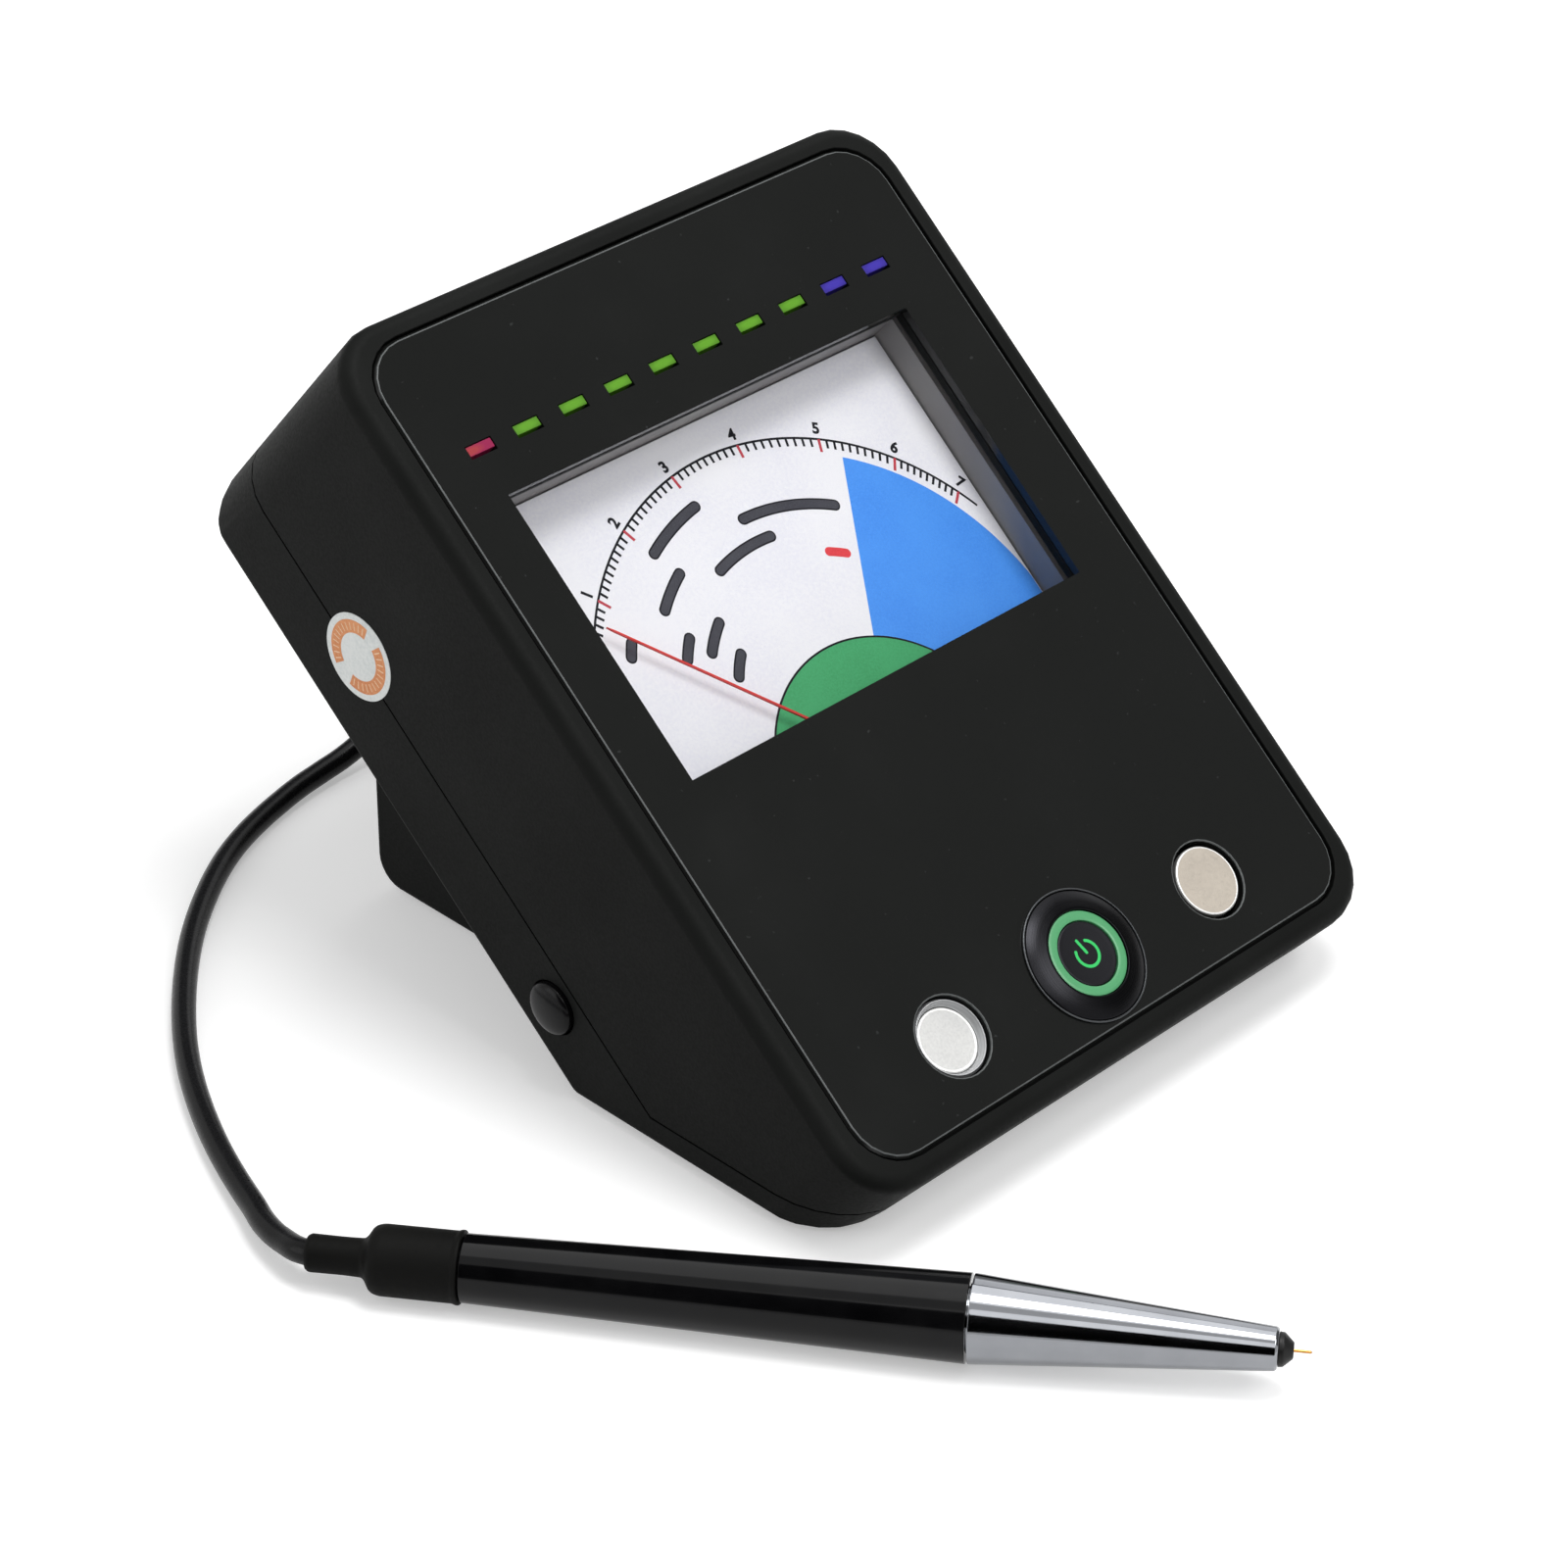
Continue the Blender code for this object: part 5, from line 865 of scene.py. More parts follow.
@dataclass
class Assembly:
    """What the sub-assemblies share: each turns arrays into dressed pieces on their bodies."""

    frame: dict

    def piece(
        self,
        name: str,
        mesh: bpy.types.Mesh,
        finish: Finish,
        slot: str,
        stands_for: str = "",
        body: str = "console",
    ) -> bpy.types.Object:
        """Makes a mesh a dressed piece of the object.

        Args:
            name: The piece's name.
            mesh: Its mesh, already in place.
            finish: What it is made of.
            slot: Not used.
            stands_for: The CAD node that it replaces, if any.
            body: The body that it moves with.

        Returns:
            The piece.
        """
        made = linked(name, mesh)
        made.data.materials.append(finish.material())
        made.modifiers.new("even_normals", "WEIGHTED_NORMAL").keep_sharp = True
        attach(made, body)
        if stands_for:
            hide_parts(stands_for)
        LOG.info("%s: %d faces, %s", name, len(mesh.polygons), finish.name)
        return made

    def surface(
        self, name: str, shape: tuple[Array, Array], place: Array, *rest: Finish | str
    ) -> bpy.types.Object:
        """Makes a piece from a grid of points; the rest is what piece takes after its mesh."""
        return self.piece(name, mesh_from_grid(name, shape, place), *rest)

    def lathed(
        self,
        name: str,
        profile: Pairs,
        place: Array,
        *rest: Finish | str,
        cut: float | tuple[float, ...] = 0.12,
        facets: int = ROUND,
        fine: int = 5,
    ) -> bpy.types.Object:
        """Makes a turned piece.

        Args:
            name: The piece's name.
            profile: Radius and height of each corner, in millimetres.
            place: The frame whose third axis it is turned about.
            rest: What piece takes after its mesh.
            cut: How far each corner's rounding reaches, in millimetres.
            facets: Facets round the axis.
            fine: Points on each rounding.

        Returns:
            The piece.
        """
        line = softened(np.array(profile, dtype=float) * MM, np.array(cut) * MM, fine)
        return self.surface(name, turned(line, facets), place, *rest)

    def refined(
        self, node: str, name: str, finish: Finish, slot: str, bevel: float, body: str = "console"
    ) -> bpy.types.Object:
        """A CAD node's own shape with its flats joined and its sharp edges broken.

        Args:
            node: The node that it copies and replaces.
            name: The piece's name.
            finish: What it is made of.
            slot: The record's material slot.
            bevel: Width of the broken edge in metres.
            body: The body that it moves with.

        Returns:
            The piece.
        """
        mesh = self.frame["nodes"][node].data.copy()
        mesh.name = name
        mesh.materials.clear()
        made = self.piece(name, tidied(mesh, joined=True), finish, slot, node, body)
        edge = made.modifiers.new("broken_edges", "BEVEL")
        edge.width = bevel
        edge.segments = 2
        edge.limit_method = "ANGLE"
        edge.angle_limit = SMOOTH
        edge.harden_normals = True
        made.modifiers.move(1, 0)
        return made

    def dress(self, finish: Finish, *names: str) -> None:
        """Gives CAD nodes that stay as they are their finish.

        Args:
            finish: What they are made of.
            names: The nodes' names.
        """
        for name in names:
            node = self.frame["nodes"][name]
            node.data.materials.clear()
            node.data.materials.append(finish.material())
            LOG.info("%s: %s", name, finish.name)


@dataclass
class Studio:
    """Camera, pale floor, soft lamps, white surroundings and cards that only mirrors show.

    A lamp has a name, a place, its side and its power in watts. A card has a name, the way to it
    from the object, its level width, its height, its colour and its strength.
    """

    place: Triple = (-0.42973, -0.41210, 0.4429)
    right: Triple = (0.7005, -0.7136, 0.0091)
    back: Triple = (-0.6017, -0.5837, 0.5453)
    lens: float = 107.383
    sensor: float = 36.0
    nearest: float = 0.01
    ambient: float = 0.48
    floor_lift: float = 0.36
    floor_reach: float = 3.0
    floor_fade: tuple[float, float] = (0.4, 1.2)
    aim: Triple = (0.02, 0.0, 0.05)
    card_distance: float = 1.2
    lamps: tuple[tuple[str, Triple, float, float], ...] = (
        ("overhead_softbox", (0.12, -0.12, 1.10), 0.40, 5.6),
        ("front_softbox", (0.23, -0.73, 0.93), 0.50, 4.0),
        ("left_softbox", (-0.95, 0.45, 0.45), 0.70, 2.0),
        ("right_softbox", (0.95, 0.30, 0.60), 0.70, 2.0),
    )
    cards: tuple[tuple[str, Triple, float, float, str, float], ...] = (
        ("panel_flag", (0.726, -0.376, 0.573), 1.5, 1.5, "#7e7e7e", 1.0),
        ("lens_side_flag", (-0.694, -0.553, 0.462), 1.8, 0.99, "#0a0a0a", 1.0),
        ("nose_white_card", (-0.22, -0.60, 0.77), 1.5, 0.5, "#ffffff", 2.2),
        ("overhead_white_card", (0.20, 0.13, 0.97), 0.9, 1.25, "#ffffff", 2.4),
        ("rear_grey_card", (0.64, 0.51, 0.50), 1.8, 0.8, "#7a7b80", 1.0),
    )

    def camera(self) -> None:
        """The photograph's viewpoint: the axes are squared up before they are used."""
        back = Vector(self.back).normalized()
        up = back.cross(Vector(self.right)).normalized()
        turn = Matrix((up.cross(back), up, back)).transposed().to_4x4()
        data = bpy.data.cameras.new("view")
        data.lens = self.lens
        data.sensor_width = self.sensor
        data.clip_start = self.nearest
        made = linked("view", data)
        made.matrix_world = Matrix.Translation(self.place) @ turn
        bpy.context.scene.camera = made

    def lights(self) -> None:
        """Square soft lamps that face the object."""
        for name, place, size, power in self.lamps:
            data = bpy.data.lights.new(name, "AREA")
            data.shape = "SQUARE"
            data.size = size
            data.energy = power
            turn = (Vector(self.aim) - Vector(place)).to_track_quat("-Z", "Y")
            linked(name, data).matrix_world = Matrix.Translation(place) @ turn.to_matrix().to_4x4()

    def seen(self, tree: bpy.types.NodeTree) -> Socket:
        """Tells what the camera sees from what only gives light.

        Args:
            tree: The material's or the world's nodes.

        Returns:
            1 for what the camera sees, straight, in metal or through glass, and else 0.
        """
        rays = add_node(tree, "LightPath")
        share = rays["Is Camera Ray"]
        for kind in ("Is Glossy Ray", "Is Transmission Ray"):
            share = add_node(tree, "Math", {0: share, 1: rays[kind]}, operation="MAXIMUM")[0]
        return share

    def staged(self, name: str, finish: str, corners: Array) -> tuple[bpy.types.Object, bpy.types.NodeTree]:
        """A flat square of the stage.

        Args:
            name: Its name.
            finish: Its material's name.
            corners: Its corners in the world, one row each.

        Returns:
            The square, and its material's nodes.
        """
        made = linked(name, mesh_of(name, corners, [[0, 1, 2, 3]], np.eye(4)))
        material = bpy.data.materials.new(finish)
        material.use_nodes = True
        made.data.materials.append(material)
        return made, material.node_tree

    def mirrored(self) -> None:
        """Cards square to the line from the object to them, each of one plain light."""
        for name, way, width, height, code, strength in self.cards:
            facing = unit(np.array(way))
            across = unit(np.cross((0, 0, 1), facing))
            spans = np.stack([across * width, np.cross(facing, across) * height]) / 2
            made, tree = self.staged(name, name, self.card_distance * facing + CORNERS @ spans)
            tree.nodes.clear()
            light = add_node(tree, "Emission", {"Color": srgb(code), "Strength": strength})[0]
            add_node(tree, "OutputMaterial", {0: light})
            made.visible_camera = made.visible_diffuse = made.visible_shadow = False
            made.visible_transmission = False

    def surroundings(self) -> None:
        """White to the camera, to metal and to glass, and a weaker sky as light."""
        world = bpy.data.worlds.new("studio")
        bpy.context.scene.world = world
        world.use_nodes = True
        tree = world.node_tree
        tree.nodes.clear()
        strength = add_node(tree, "MapRange", {0: self.seen(tree), 3: self.ambient, 4: 1.0})[0]
        sky = add_node(tree, "Background", {"Color": srgb("#ffffff"), "Strength": strength})[0]
        add_node(tree, "OutputWorld", {0: sky})

    def floor(self) -> None:
        """A pale matt floor, white to the camera, that keeps the shadow and fades out far away."""
        corners = np.c_[CORNERS * self.floor_reach / 2, np.zeros(4)]
        tree = self.staged("floor", "pale_floor", corners)[1]
        near, far = self.floor_fade
        spot = {0: add_node(tree, "TexCoord")["Object"]}
        away = add_node(tree, "VectorMath", spot, operation="LENGTH")["Value"]
        rise = {0: away, 1: near, 2: far, 3: self.floor_lift, 4: 1.0}
        lift = {0: self.seen(tree), 1: add_node(tree, "MapRange", rise)[0]}
        lift = add_node(tree, "Math", lift, operation="MULTIPLY")[0]
        matt = {"Base Color": srgb("#e6e6e6"), "Roughness": 0.9, "Specular IOR Level": 0.1}
        light = {"Emission Color": srgb("#ffffff"), "Emission Strength": lift}
        feed(tree.nodes["Principled BSDF"], matt | light)

    def build(self) -> None:
        """Sets the whole studio up."""
        bpy.context.scene.view_settings.view_transform = "Standard"
        self.camera()
        self.surroundings()
        self.floor()
        self.lights()
        self.mirrored()
        LOG.info("studio: camera, floor, sky, %d lamps and %d cards", len(self.lamps), len(self.cards))


@dataclass
class ProbeCord(Assembly):
    """The pen's cord, from the grommet in the rear leg to the sleeve on the pen.

    The photograph shows it from end to end but for the last part behind the housing. Its points
    are places from the console's middle, with their height over the floor, and its last two are
    stations on the pen's axis: the sleeve's mouth, and where the cord ends inside it.
    """

    diameter: float = 4.0 * MM
    length: float = 0.2120
    sleeve_mouth: float = -99.2 * MM
    end: float = -95.2 * MM
    start: Triple = (0.0100, 0.0768, 0.0282)
    mouth: Triple = (0.0100, 0.0808, 0.0282)
    route: tuple[Triple, ...] = (
        (0.0094, 0.0860, 0.0272),
        (0.0066, 0.0930, 0.0235),
        (0.0005, 0.0990, 0.0165),
        (-0.0090, 0.1024, 0.0088),
        (-0.0204, 0.1030, 0.0036),
        (-0.0347, 0.1018, 0.0023),
        (-0.0537, 0.0957, 0.0021),
        (-0.0704, 0.0847, 0.0021),
        (-0.0864, 0.0691, 0.0021),
        (-0.0987, 0.0530, 0.0021),
        (-0.1079, 0.0360, 0.0022),
        (-0.1148, 0.0185, 0.0028),
        (-0.1181, 0.0088, 0.0038),
    )

    def placed(self, spots: tuple) -> Array:
        """Places from the console's middle, as points in the world."""
        return np.array(spots) + BASE[:3, 3] * (1, 1, 0)

    def centreline(self, count: int = 36) -> Array:
        """The cord's middle line.

        Between two route points it is the cubic that leaves the one and meets the other along
        their own slopes, and it is then sampled at equal steps of its length.

        Args:
            count: Number of points.

        Returns:
            Points in the world, one row each.
        """
        sleeve_mouth, end = (PEN[:3, 3] + station * PEN[:3, 2] for station in (self.sleeve_mouth, self.end))
        points = np.vstack([self.placed((self.mouth, *self.route)), sleeve_mouth])
        reach = run_along(points)
        slopes = np.gradient(points, reach, axis=0)
        fine = np.linspace(0, reach[-1], 40 * len(points))
        i = np.clip(np.searchsorted(reach, fine) - 1, 0, len(points) - 2)
        step = (reach[i + 1] - reach[i])[:, None]
        t = (fine - reach[i])[:, None] / step
        curve = (2 * t**3 - 3 * t**2 + 1) * points[i] + (t**3 - 2 * t**2 + t) * step * slopes[i]
        curve += (3 * t**2 - 2 * t**3) * points[i + 1] + (t**3 - t**2) * step * slopes[i + 1]
        run = run_along(curve)
        marks = np.linspace(0, run[-1], count)
        even = np.stack([np.interp(marks, run, curve[:, axis]) for axis in range(3)], axis=1)
        return np.vstack([self.placed(self.start), even, end])

    def build(self) -> None:
        points = self.centreline()
        curve = bpy.data.curves.new("pen_cord", "CURVE")
        curve.dimensions = "3D"
        curve.bevel_depth = self.diameter / 2
        curve.bevel_resolution = 8
        curve.use_fill_caps = True
        curve.resolution_u = 6
        spline = curve.splines.new("BEZIER")
        spline.bezier_points.add(len(points) - 1)
        spline.bezier_points.foreach_set("co", points.ravel())
        for point in spline.bezier_points:
            point.handle_left_type = point.handle_right_type = "AUTO"
        made = linked("pen_cord", curve)
        curve.materials.append(JACKET.material())
        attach(made, "console")
        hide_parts("probe_cord")
        LOG.info("pen_cord: %d points", len(points))


@dataclass
class Housing(Assembly):
    """Both shells, the battery door, screws and feet, and the seal label on the left wall.

    A layer of the seal has the heights of its underside and its face, and its edge's radius.
    """

    edge: float = 0.25 * MM
    screw_edge: float = 0.12 * MM
    foot_profile: Pairs = ((0, -1.2), (3.0, -1.2), (3.4, -0.8), (3.4, 0.5), (0, 0.5))
    feet: Pairs = ((-0.0460, -0.0380), (0.0460, -0.0380), (-0.0370, 0.0620), (0.0370, 0.0620))
    seal_place: Triple = (-60.0, 39.0, -36.0)
    seal_radius: float = 7.5 * MM
    seal_spans: Pairs = ((108, 258), (288, 432))
    paper: Triple = (0.005 * MM, 0.10 * MM, 0.04 * MM)
    paper_points: int = 90
    band: Triple = (0.08 * MM, 0.13 * MM, 0.01 * MM)
    band_share: float = 0.70
    band_width_share: float = 0.30
    ray_shares: tuple[float, float] = (0.61, 0.79)
    ray_heights: tuple[float, float] = (0.10 * MM, 0.15 * MM)
    ray_width: float = 0.20 * MM
    ray_margin: float = 8.0
    rays_in_band: int = 13

    def shells(self) -> None:
        """The moulded parts keep the CAD's shape, with soft moulded edges."""
        for node, name in (("front_shell", "front_cover"), ("back_shell", "back_cover")):
            self.refined(node, name, HOUSING, "housing", self.edge)
        self.refined("battery_door", "sliding_door", HOUSING, "housing", self.edge, "door")

    def fasteners(self) -> None:
        """Screws with softened recesses."""
        for k in range(1, 5):
            self.refined(f"housing_screw_{k}", f"case_screw_{k}", STEEL, "steel", self.screw_edge)

    def pads(self) -> None:
        """Feet as moulded rubber pads with a crowned underside."""
        for k, (x, y) in enumerate(self.feet, 1):
            place = BASE @ framed(np.eye(3), (x, y, 0))
            looks = (RUBBER, "foot_rubber", f"foot_{k}")
            self.lathed(f"rubber_foot_{k}", self.foot_profile, place, *looks, cut=0.35, facets=64)

    def seal(self) -> None:
        """A plain round seal over the shells' seam: white rim and two orange arcs of rays."""
        place = panel_place(*self.seal_place, Side.LEFT)
        radius = self.seal_radius
        count = self.paper_points
        rim = arc((0, 0), radius, 0, 360 - 360 / count, count)
        self.surface("seal_label", slab(rim, *self.paper), place, SEAL_PAPER, "dial")
        for k, span in enumerate(self.seal_spans, 1):
            bar = (self.band_share * radius, *span)
            band = arc_bar((0, 0), bar, self.band_width_share * radius, round_ends=False)
            self.surface(f"seal_band_{k}", slab(band, *self.band), place, SEAL_INK, "dial")
        turns = [
            np.linspace(low + self.ray_margin, high - self.ray_margin, self.rays_in_band)
            for low, high in self.seal_spans
        ]
        way = ways(np.radians(np.concatenate(turns))) * radius
        inner, outer = self.ray_shares
        rays = strokes("seal_rays", (way * inner, way * outer), self.ray_width, self.ray_heights, place)
        self.piece("seal_rays", rays, SEAL_LINE, "dial")

    def build(self) -> None:
        """Makes the housing's pieces."""
        self.shells()
        self.fasteners()
        self.pads()
        self.seal()


@dataclass
class Panel(Assembly):
    """The glossy front plate and its row of ten lamps."""

    hole_edge: float = 0.25 * MM
    border_share: float = 0.55
    hole_u: float = 30.0
    hole_v: float = -61.2
    hole_radius: float = 6.7
    hole_play: float = 0.15
    face_play: float = 0.05
    slope: tuple[float, float] = (0.3, 0.95)
    lamp_v: float = 52.67
    lamp_pitch: float = 9.68
    lamp_middle: float = -1.05
    lamp_length: float = 5.0 * MM
    lamp_height: float = 1.6 * MM
    lamp_corner: float = 0.12 * MM
    lamp_edge: float = 0.1 * MM
    flange: float = 0.5 * MM
    depth: float = 7.7 * MM
    flange_top: float = 3.6 * MM
    sunk: float = 0.1 * MM

    def plate(self) -> None:
        """The plate, whose border and disc holes keep the cutter's frosted look, in a pale finish that also
        paints their highlight line.

        Only edges on the face get a bevel weight: those on the two disc holes, in full, and those
        where the border's chamfer starts, in part.
        """
        made = self.refined("front_panel", "face_plate", SHEET, "panel", self.hole_edge)
        mesh = made.data
        mesh.materials.append(SHEET_EDGE_HIGHLIGHT.material())
        tilt = column(mesh.polygons, "normal", np.float32, 3) @ PANEL[:3, 2]
        sloped = (tilt > self.slope[0]) & (tilt < self.slope[1])
        sizes = column(mesh.polygons, "loop_total", np.int32)
        corners = column(mesh.loops, "vertex_index", np.int32)
        chamfered = np.zeros(len(mesh.vertices), dtype=bool)
        chamfered[corners[np.repeat(sloped, sizes)]] = True
        ends = column(mesh.edges, "vertices", np.int32, 2)
        local = (column(mesh.vertices, "co", np.float32, 3) - PANEL[:3, 3]) @ PANEL[:3, :3]
        u, v, n = np.moveaxis(local[ends], 2, 0) / MM
        off = np.hypot(np.abs(u) - self.hole_u, v - self.hole_v) - self.hole_radius
        on_face = (np.abs(n) < self.face_play).all(axis=1)
        hole = on_face & (np.abs(off) < self.hole_play).all(axis=1)
        border = on_face & chamfered[ends].all(axis=1)
        share = np.where(hole, 1.0, np.where(border, self.border_share, 0.0))
        weights = mesh.attributes.new("bevel_weight_edge", "FLOAT", "EDGE")
        weights.data.foreach_set("value", share.astype(np.float32))
        edge = made.modifiers["broken_edges"]
        edge.limit_method = "WEIGHT"
        # The bevels take the pale edge finish, which paints their highlight line.
        edge.material = 1

    def lamps(self) -> None:
        """Ten lamps: one red, seven green and two blue, each with its flange behind the wall."""
        outline = rounded_rectangle(self.lamp_length, self.lamp_height, self.lamp_corner, 5)
        a = np.linspace(0, QUARTER, 5)
        inwards = np.r_[-self.flange, -self.flange, 0, self.lamp_edge * (1 - np.cos(a))]
        top = -self.sunk - self.lamp_edge * (1 - np.sin(a))
        shape = layered(outline, inwards, np.r_[-self.depth, -self.flange_top, -self.flange_top, top])
        names = ["led_red", *[f"led_green_{k}" for k in range(1, 8)], "led_blue_1", "led_blue_2"]
        finishes = {"red": RED_LAMP, "green": GREEN_LAMP, "blue": BLUE_LAMP}
        for k, node in enumerate(names):
            colour = node.split("_")[1]
            from_middle = self.lamp_pitch * (k - (len(names) - 1) / 2)
            place = panel_place(self.lamp_middle + from_middle, self.lamp_v)
            self.surface(f"lamp_{k + 1}", shape, place, finishes[colour], f"{colour}_lamp", node)

    def build(self) -> None:
        """Makes the plate and the lamps, and dresses the boards behind them."""
        self.plate()
        self.lamps()
        self.dress(BOARD, "led_board", "main_board")
        self.dress(NYLON, "buzzer")


@dataclass
class Meter(Assembly):
    """The meter: its case, lens and movement, and the printed dial under the needle.

    A bar has its radius in millimetres and the angles of its ends.
    """

    pivot: tuple[float, float] = (-1.2 * MM, -21.4 * MM)
    arc_centre: tuple[float, float] = (-1.2 * MM, -9.0 * MM)
    face: float = -10.5 * MM
    ink: float = 0.03 * MM
    ink_foot: float = 0.02 * MM
    ink_edge: float = 0.008 * MM
    scale_radius: float = 47.4 * MM
    divisions: tuple[float, ...] = (139.4, 125.1, 111.2, 97.1, 83.0, 67.8, 53.9, 41.4)
    last: float = 37.4
    ticks: int = 10
    tick_layers: float = 1.4
    line_half: float = 0.20 * MM
    major_length: float = 2.3 * MM
    major_width: float = 0.48 * MM
    minor_length: float = 1.5 * MM
    minor_width: float = 0.43 * MM
    number_radius: float = 49.3 * MM
    number_size: float = 2.75 * MM
    number_swell: float = 0.05 * MM
    number_edge: float = 0.06 * MM
    hub_radius: float = 23.3 * MM
    hub_line: float = 0.36 * MM
    hub_span: tuple[float, float] = (-55, 235)
    wedge_radius: float = 44.7 * MM
    wedge_edge: Pairs = ((23.2, 28.6), (3.6, -8.5))
    wedge_foot: float = -24.0 * MM
    dial_right: float = 43.1 * MM
    bar_width: float = 2.0 * MM
    bar_line: float = 0.55 * MM
    bars: tuple[Triple, ...] = (
        (41.4, 99.3, 116.8),
        (35.6, 60.6, 89.9),
        (36.3, 117.1, 129.2),
        (31.3, 84.7, 107.6),
        (41.0, 140.9, 144.4),
        (31.3, 134.2, 141.3),
        (27.2, 124.1, 136.4),
        (22.3, 132.3, 142.9),
    )
    mark: Triple = (27.1, 58.7, 65.5)
    mark_width: float = 1.6 * MM
    needle_rest: float = math.radians(130.5)
    needle_low: float = -8.6 * MM
    needle_high: float = -8.2 * MM
    needle_edge: float = 0.04 * MM
    needle_half: Pairs = ((-9.0, -0.9), (-2.2, -0.9), (-2.0, -0.23), (53.6, -0.16), (55.1, -0.05))
    hub_profile: Pairs = ((0, -9.10), (2.20, -9.10), (2.20, -7.70), (0.60, -7.70), (0.40, -7.50), (0, -7.50))

    def on_scale(self, degrees: Array, radius: float) -> Array:
        """Where rays from the pivot meet a circle about the scale's centre.

        A ray at the angle a meets it at d sin a + sqrt(r^2 - (d cos a)^2) from the pivot, where d
        is how far the scale's centre stands above the pivot.

        Args:
            degrees: The rays' angles.
            radius: The circle's radius.

        Returns:
            Points on the dial, one row each.
        """
        a = np.radians(degrees)
        d = self.arc_centre[1] - self.pivot[1]
        reach = d * np.sin(a) + np.sqrt(radius**2 - (d * np.cos(a)) ** 2)
        return np.array(self.pivot) + reach[:, None] * ways(a)

    def printed(self, name: str, outline: Array, finish: Finish, layer: int = 1) -> None:
        """Prints a filled shape on the dial.

        Args:
            name: The piece's name.
            outline: Its outline on the dial, anticlockwise.
            finish: The ink.
            layer: 1 on the card, and more over another ink.
        """
        low, high = self.face - self.ink_foot, self.face + self.ink * layer
        self.surface(name, slab(outline, low, high, self.ink_edge, 3), PANEL, finish, "dial")

    def scale(self) -> None:
        """Outer line, ten fine ticks to a division, and rose majors."""
        angles = np.linspace(self.last, self.divisions[0], 90)
        outer = self.on_scale(angles, self.scale_radius + self.line_half)
        inner = self.on_scale(angles[::-1], self.scale_radius - self.line_half)
        self.printed("scale_line", np.vstack([outer, inner]), BLACK_INK)
        count = len(self.divisions)
        places = np.arange(self.ticks * (count - 1) + 1)
        angles = np.interp(places / self.ticks, np.arange(count), self.divisions)
        major = places % self.ticks == 0
        heights = (self.face - self.ink_foot, self.face + self.tick_layers * self.ink)
        for name, chosen, length, width, finish in (
            ("scale_ticks", ~major, self.minor_length, self.minor_width, BLACK_INK),
            ("scale_majors", major, self.major_length, self.major_width, MAJOR_INK),
        ):
            outer = self.on_scale(angles[chosen], self.scale_radius)
            inner = self.on_scale(angles[chosen], self.scale_radius - length)
            self.piece(name, strokes(name, (inner, outer), width, heights, PANEL), finish, "dial")

    def numbers(self) -> None:
        """The numbers 1 to 7, each upright along its own radius, as one mesh."""
        joined = bmesh.new()
        for k, spot in enumerate(self.on_scale(np.array(self.divisions), self.number_radius)[1:], 1):
            away = spot - np.array(self.arc_centre)
            text = bpy.data.curves.new("number", "FONT")
            text.body = str(k)
            text.size = self.number_size
            text.align_x = "CENTER"
            text.align_y = "CENTER"
            text.offset = self.number_swell
            text.bevel_depth = self.number_edge
            text.bevel_resolution = 0
            text.extrude = 0.5 * self.ink
            holder = linked("number", text)
            mesh = bpy.data.meshes.new_from_object(holder)
            bpy.data.objects.remove(holder)
            turn = Matrix.Rotation(math.atan2(away[1], away[0]) - QUARTER, 4, "Z")
            mesh.transform(Matrix(PANEL.tolist()) @ Matrix.Translation((*spot, self.face)) @ turn)
            joined.from_mesh(mesh)
        mesh = bpy.data.meshes.new("scale_numbers")
        joined.to_mesh(mesh)
        joined.free()
        self.piece("scale_numbers", tidied(mesh), BLACK_INK, "dial")

    def fields(self) -> None:
        """The blue field, and the green disc round the pivot with its dark line."""
        top, foot = np.array(self.wedge_edge) * MM
        off = top - np.array(self.arc_centre)
        start = math.degrees(math.atan2(off[1], off[0]))
        stop = math.degrees(math.acos((self.dial_right - self.arc_centre[0]) / self.wedge_radius))
        rim = arc(self.arc_centre, self.wedge_radius, stop, start, 60)
        corners = [[self.dial_right, self.wedge_foot]], [foot, [foot[0], self.wedge_foot]]
        self.printed("blue_field", np.vstack([corners[0], rim, corners[1]]), BLUE_INK)
        for name, radius, finish, layer in (
            ("hub_outline", self.hub_radius + self.hub_line, BLACK_INK, 2),
            ("green_hub", self.hub_radius, GREEN_INK, 3),
        ):
            self.printed(name, arc(self.pivot, radius, *self.hub_span, 120), finish, layer)

    def bands(self) -> None:
        """The dark bars along the scale, each with its darker outline, and the red mark."""
        for k, (radius, *span) in enumerate(self.bars, 1):
            for name, width, finish, layer in (
                (f"band_{k}_outline", self.bar_width, BLACK_INK, 1),
                (f"band_{k}", self.bar_width - self.bar_line, GREY_INK, 2),
            ):
                self.printed(name, arc_bar(self.arc_centre, (radius * MM, *span), width), finish, layer)
        radius, *span = self.mark
        self.printed("red_mark", arc_bar(self.arc_centre, (radius * MM, *span), self.mark_width), RED_INK)

    def pointer(self) -> None:
        """A knife-fine blade with its tail weight, and the hub that carries both.

        The blade tapers from 0.46 mm at the hub to 0.32 mm near its point, which is cut sharp.
        """
        c, s = math.cos(self.needle_rest), math.sin(self.needle_rest)
        place = PANEL @ framed(((c, -s, 0), (s, c, 0), (0, 0, 1)), (*self.pivot, 0))
        half = np.array(self.needle_half)
        outline = np.vstack([half, half[::-1] * (1, -1)]) * MM
        shape = slab(outline, self.needle_low, self.needle_high, self.needle_edge, 3)
        self.surface("pointer_blade", shape, place, NEEDLE_LACQUER, "needle", "needle", "pointer")
        looks = (NEEDLE_LACQUER, "needle", "", "pointer")
        self.lathed("pointer_hub", self.hub_profile, place, *looks, facets=48)

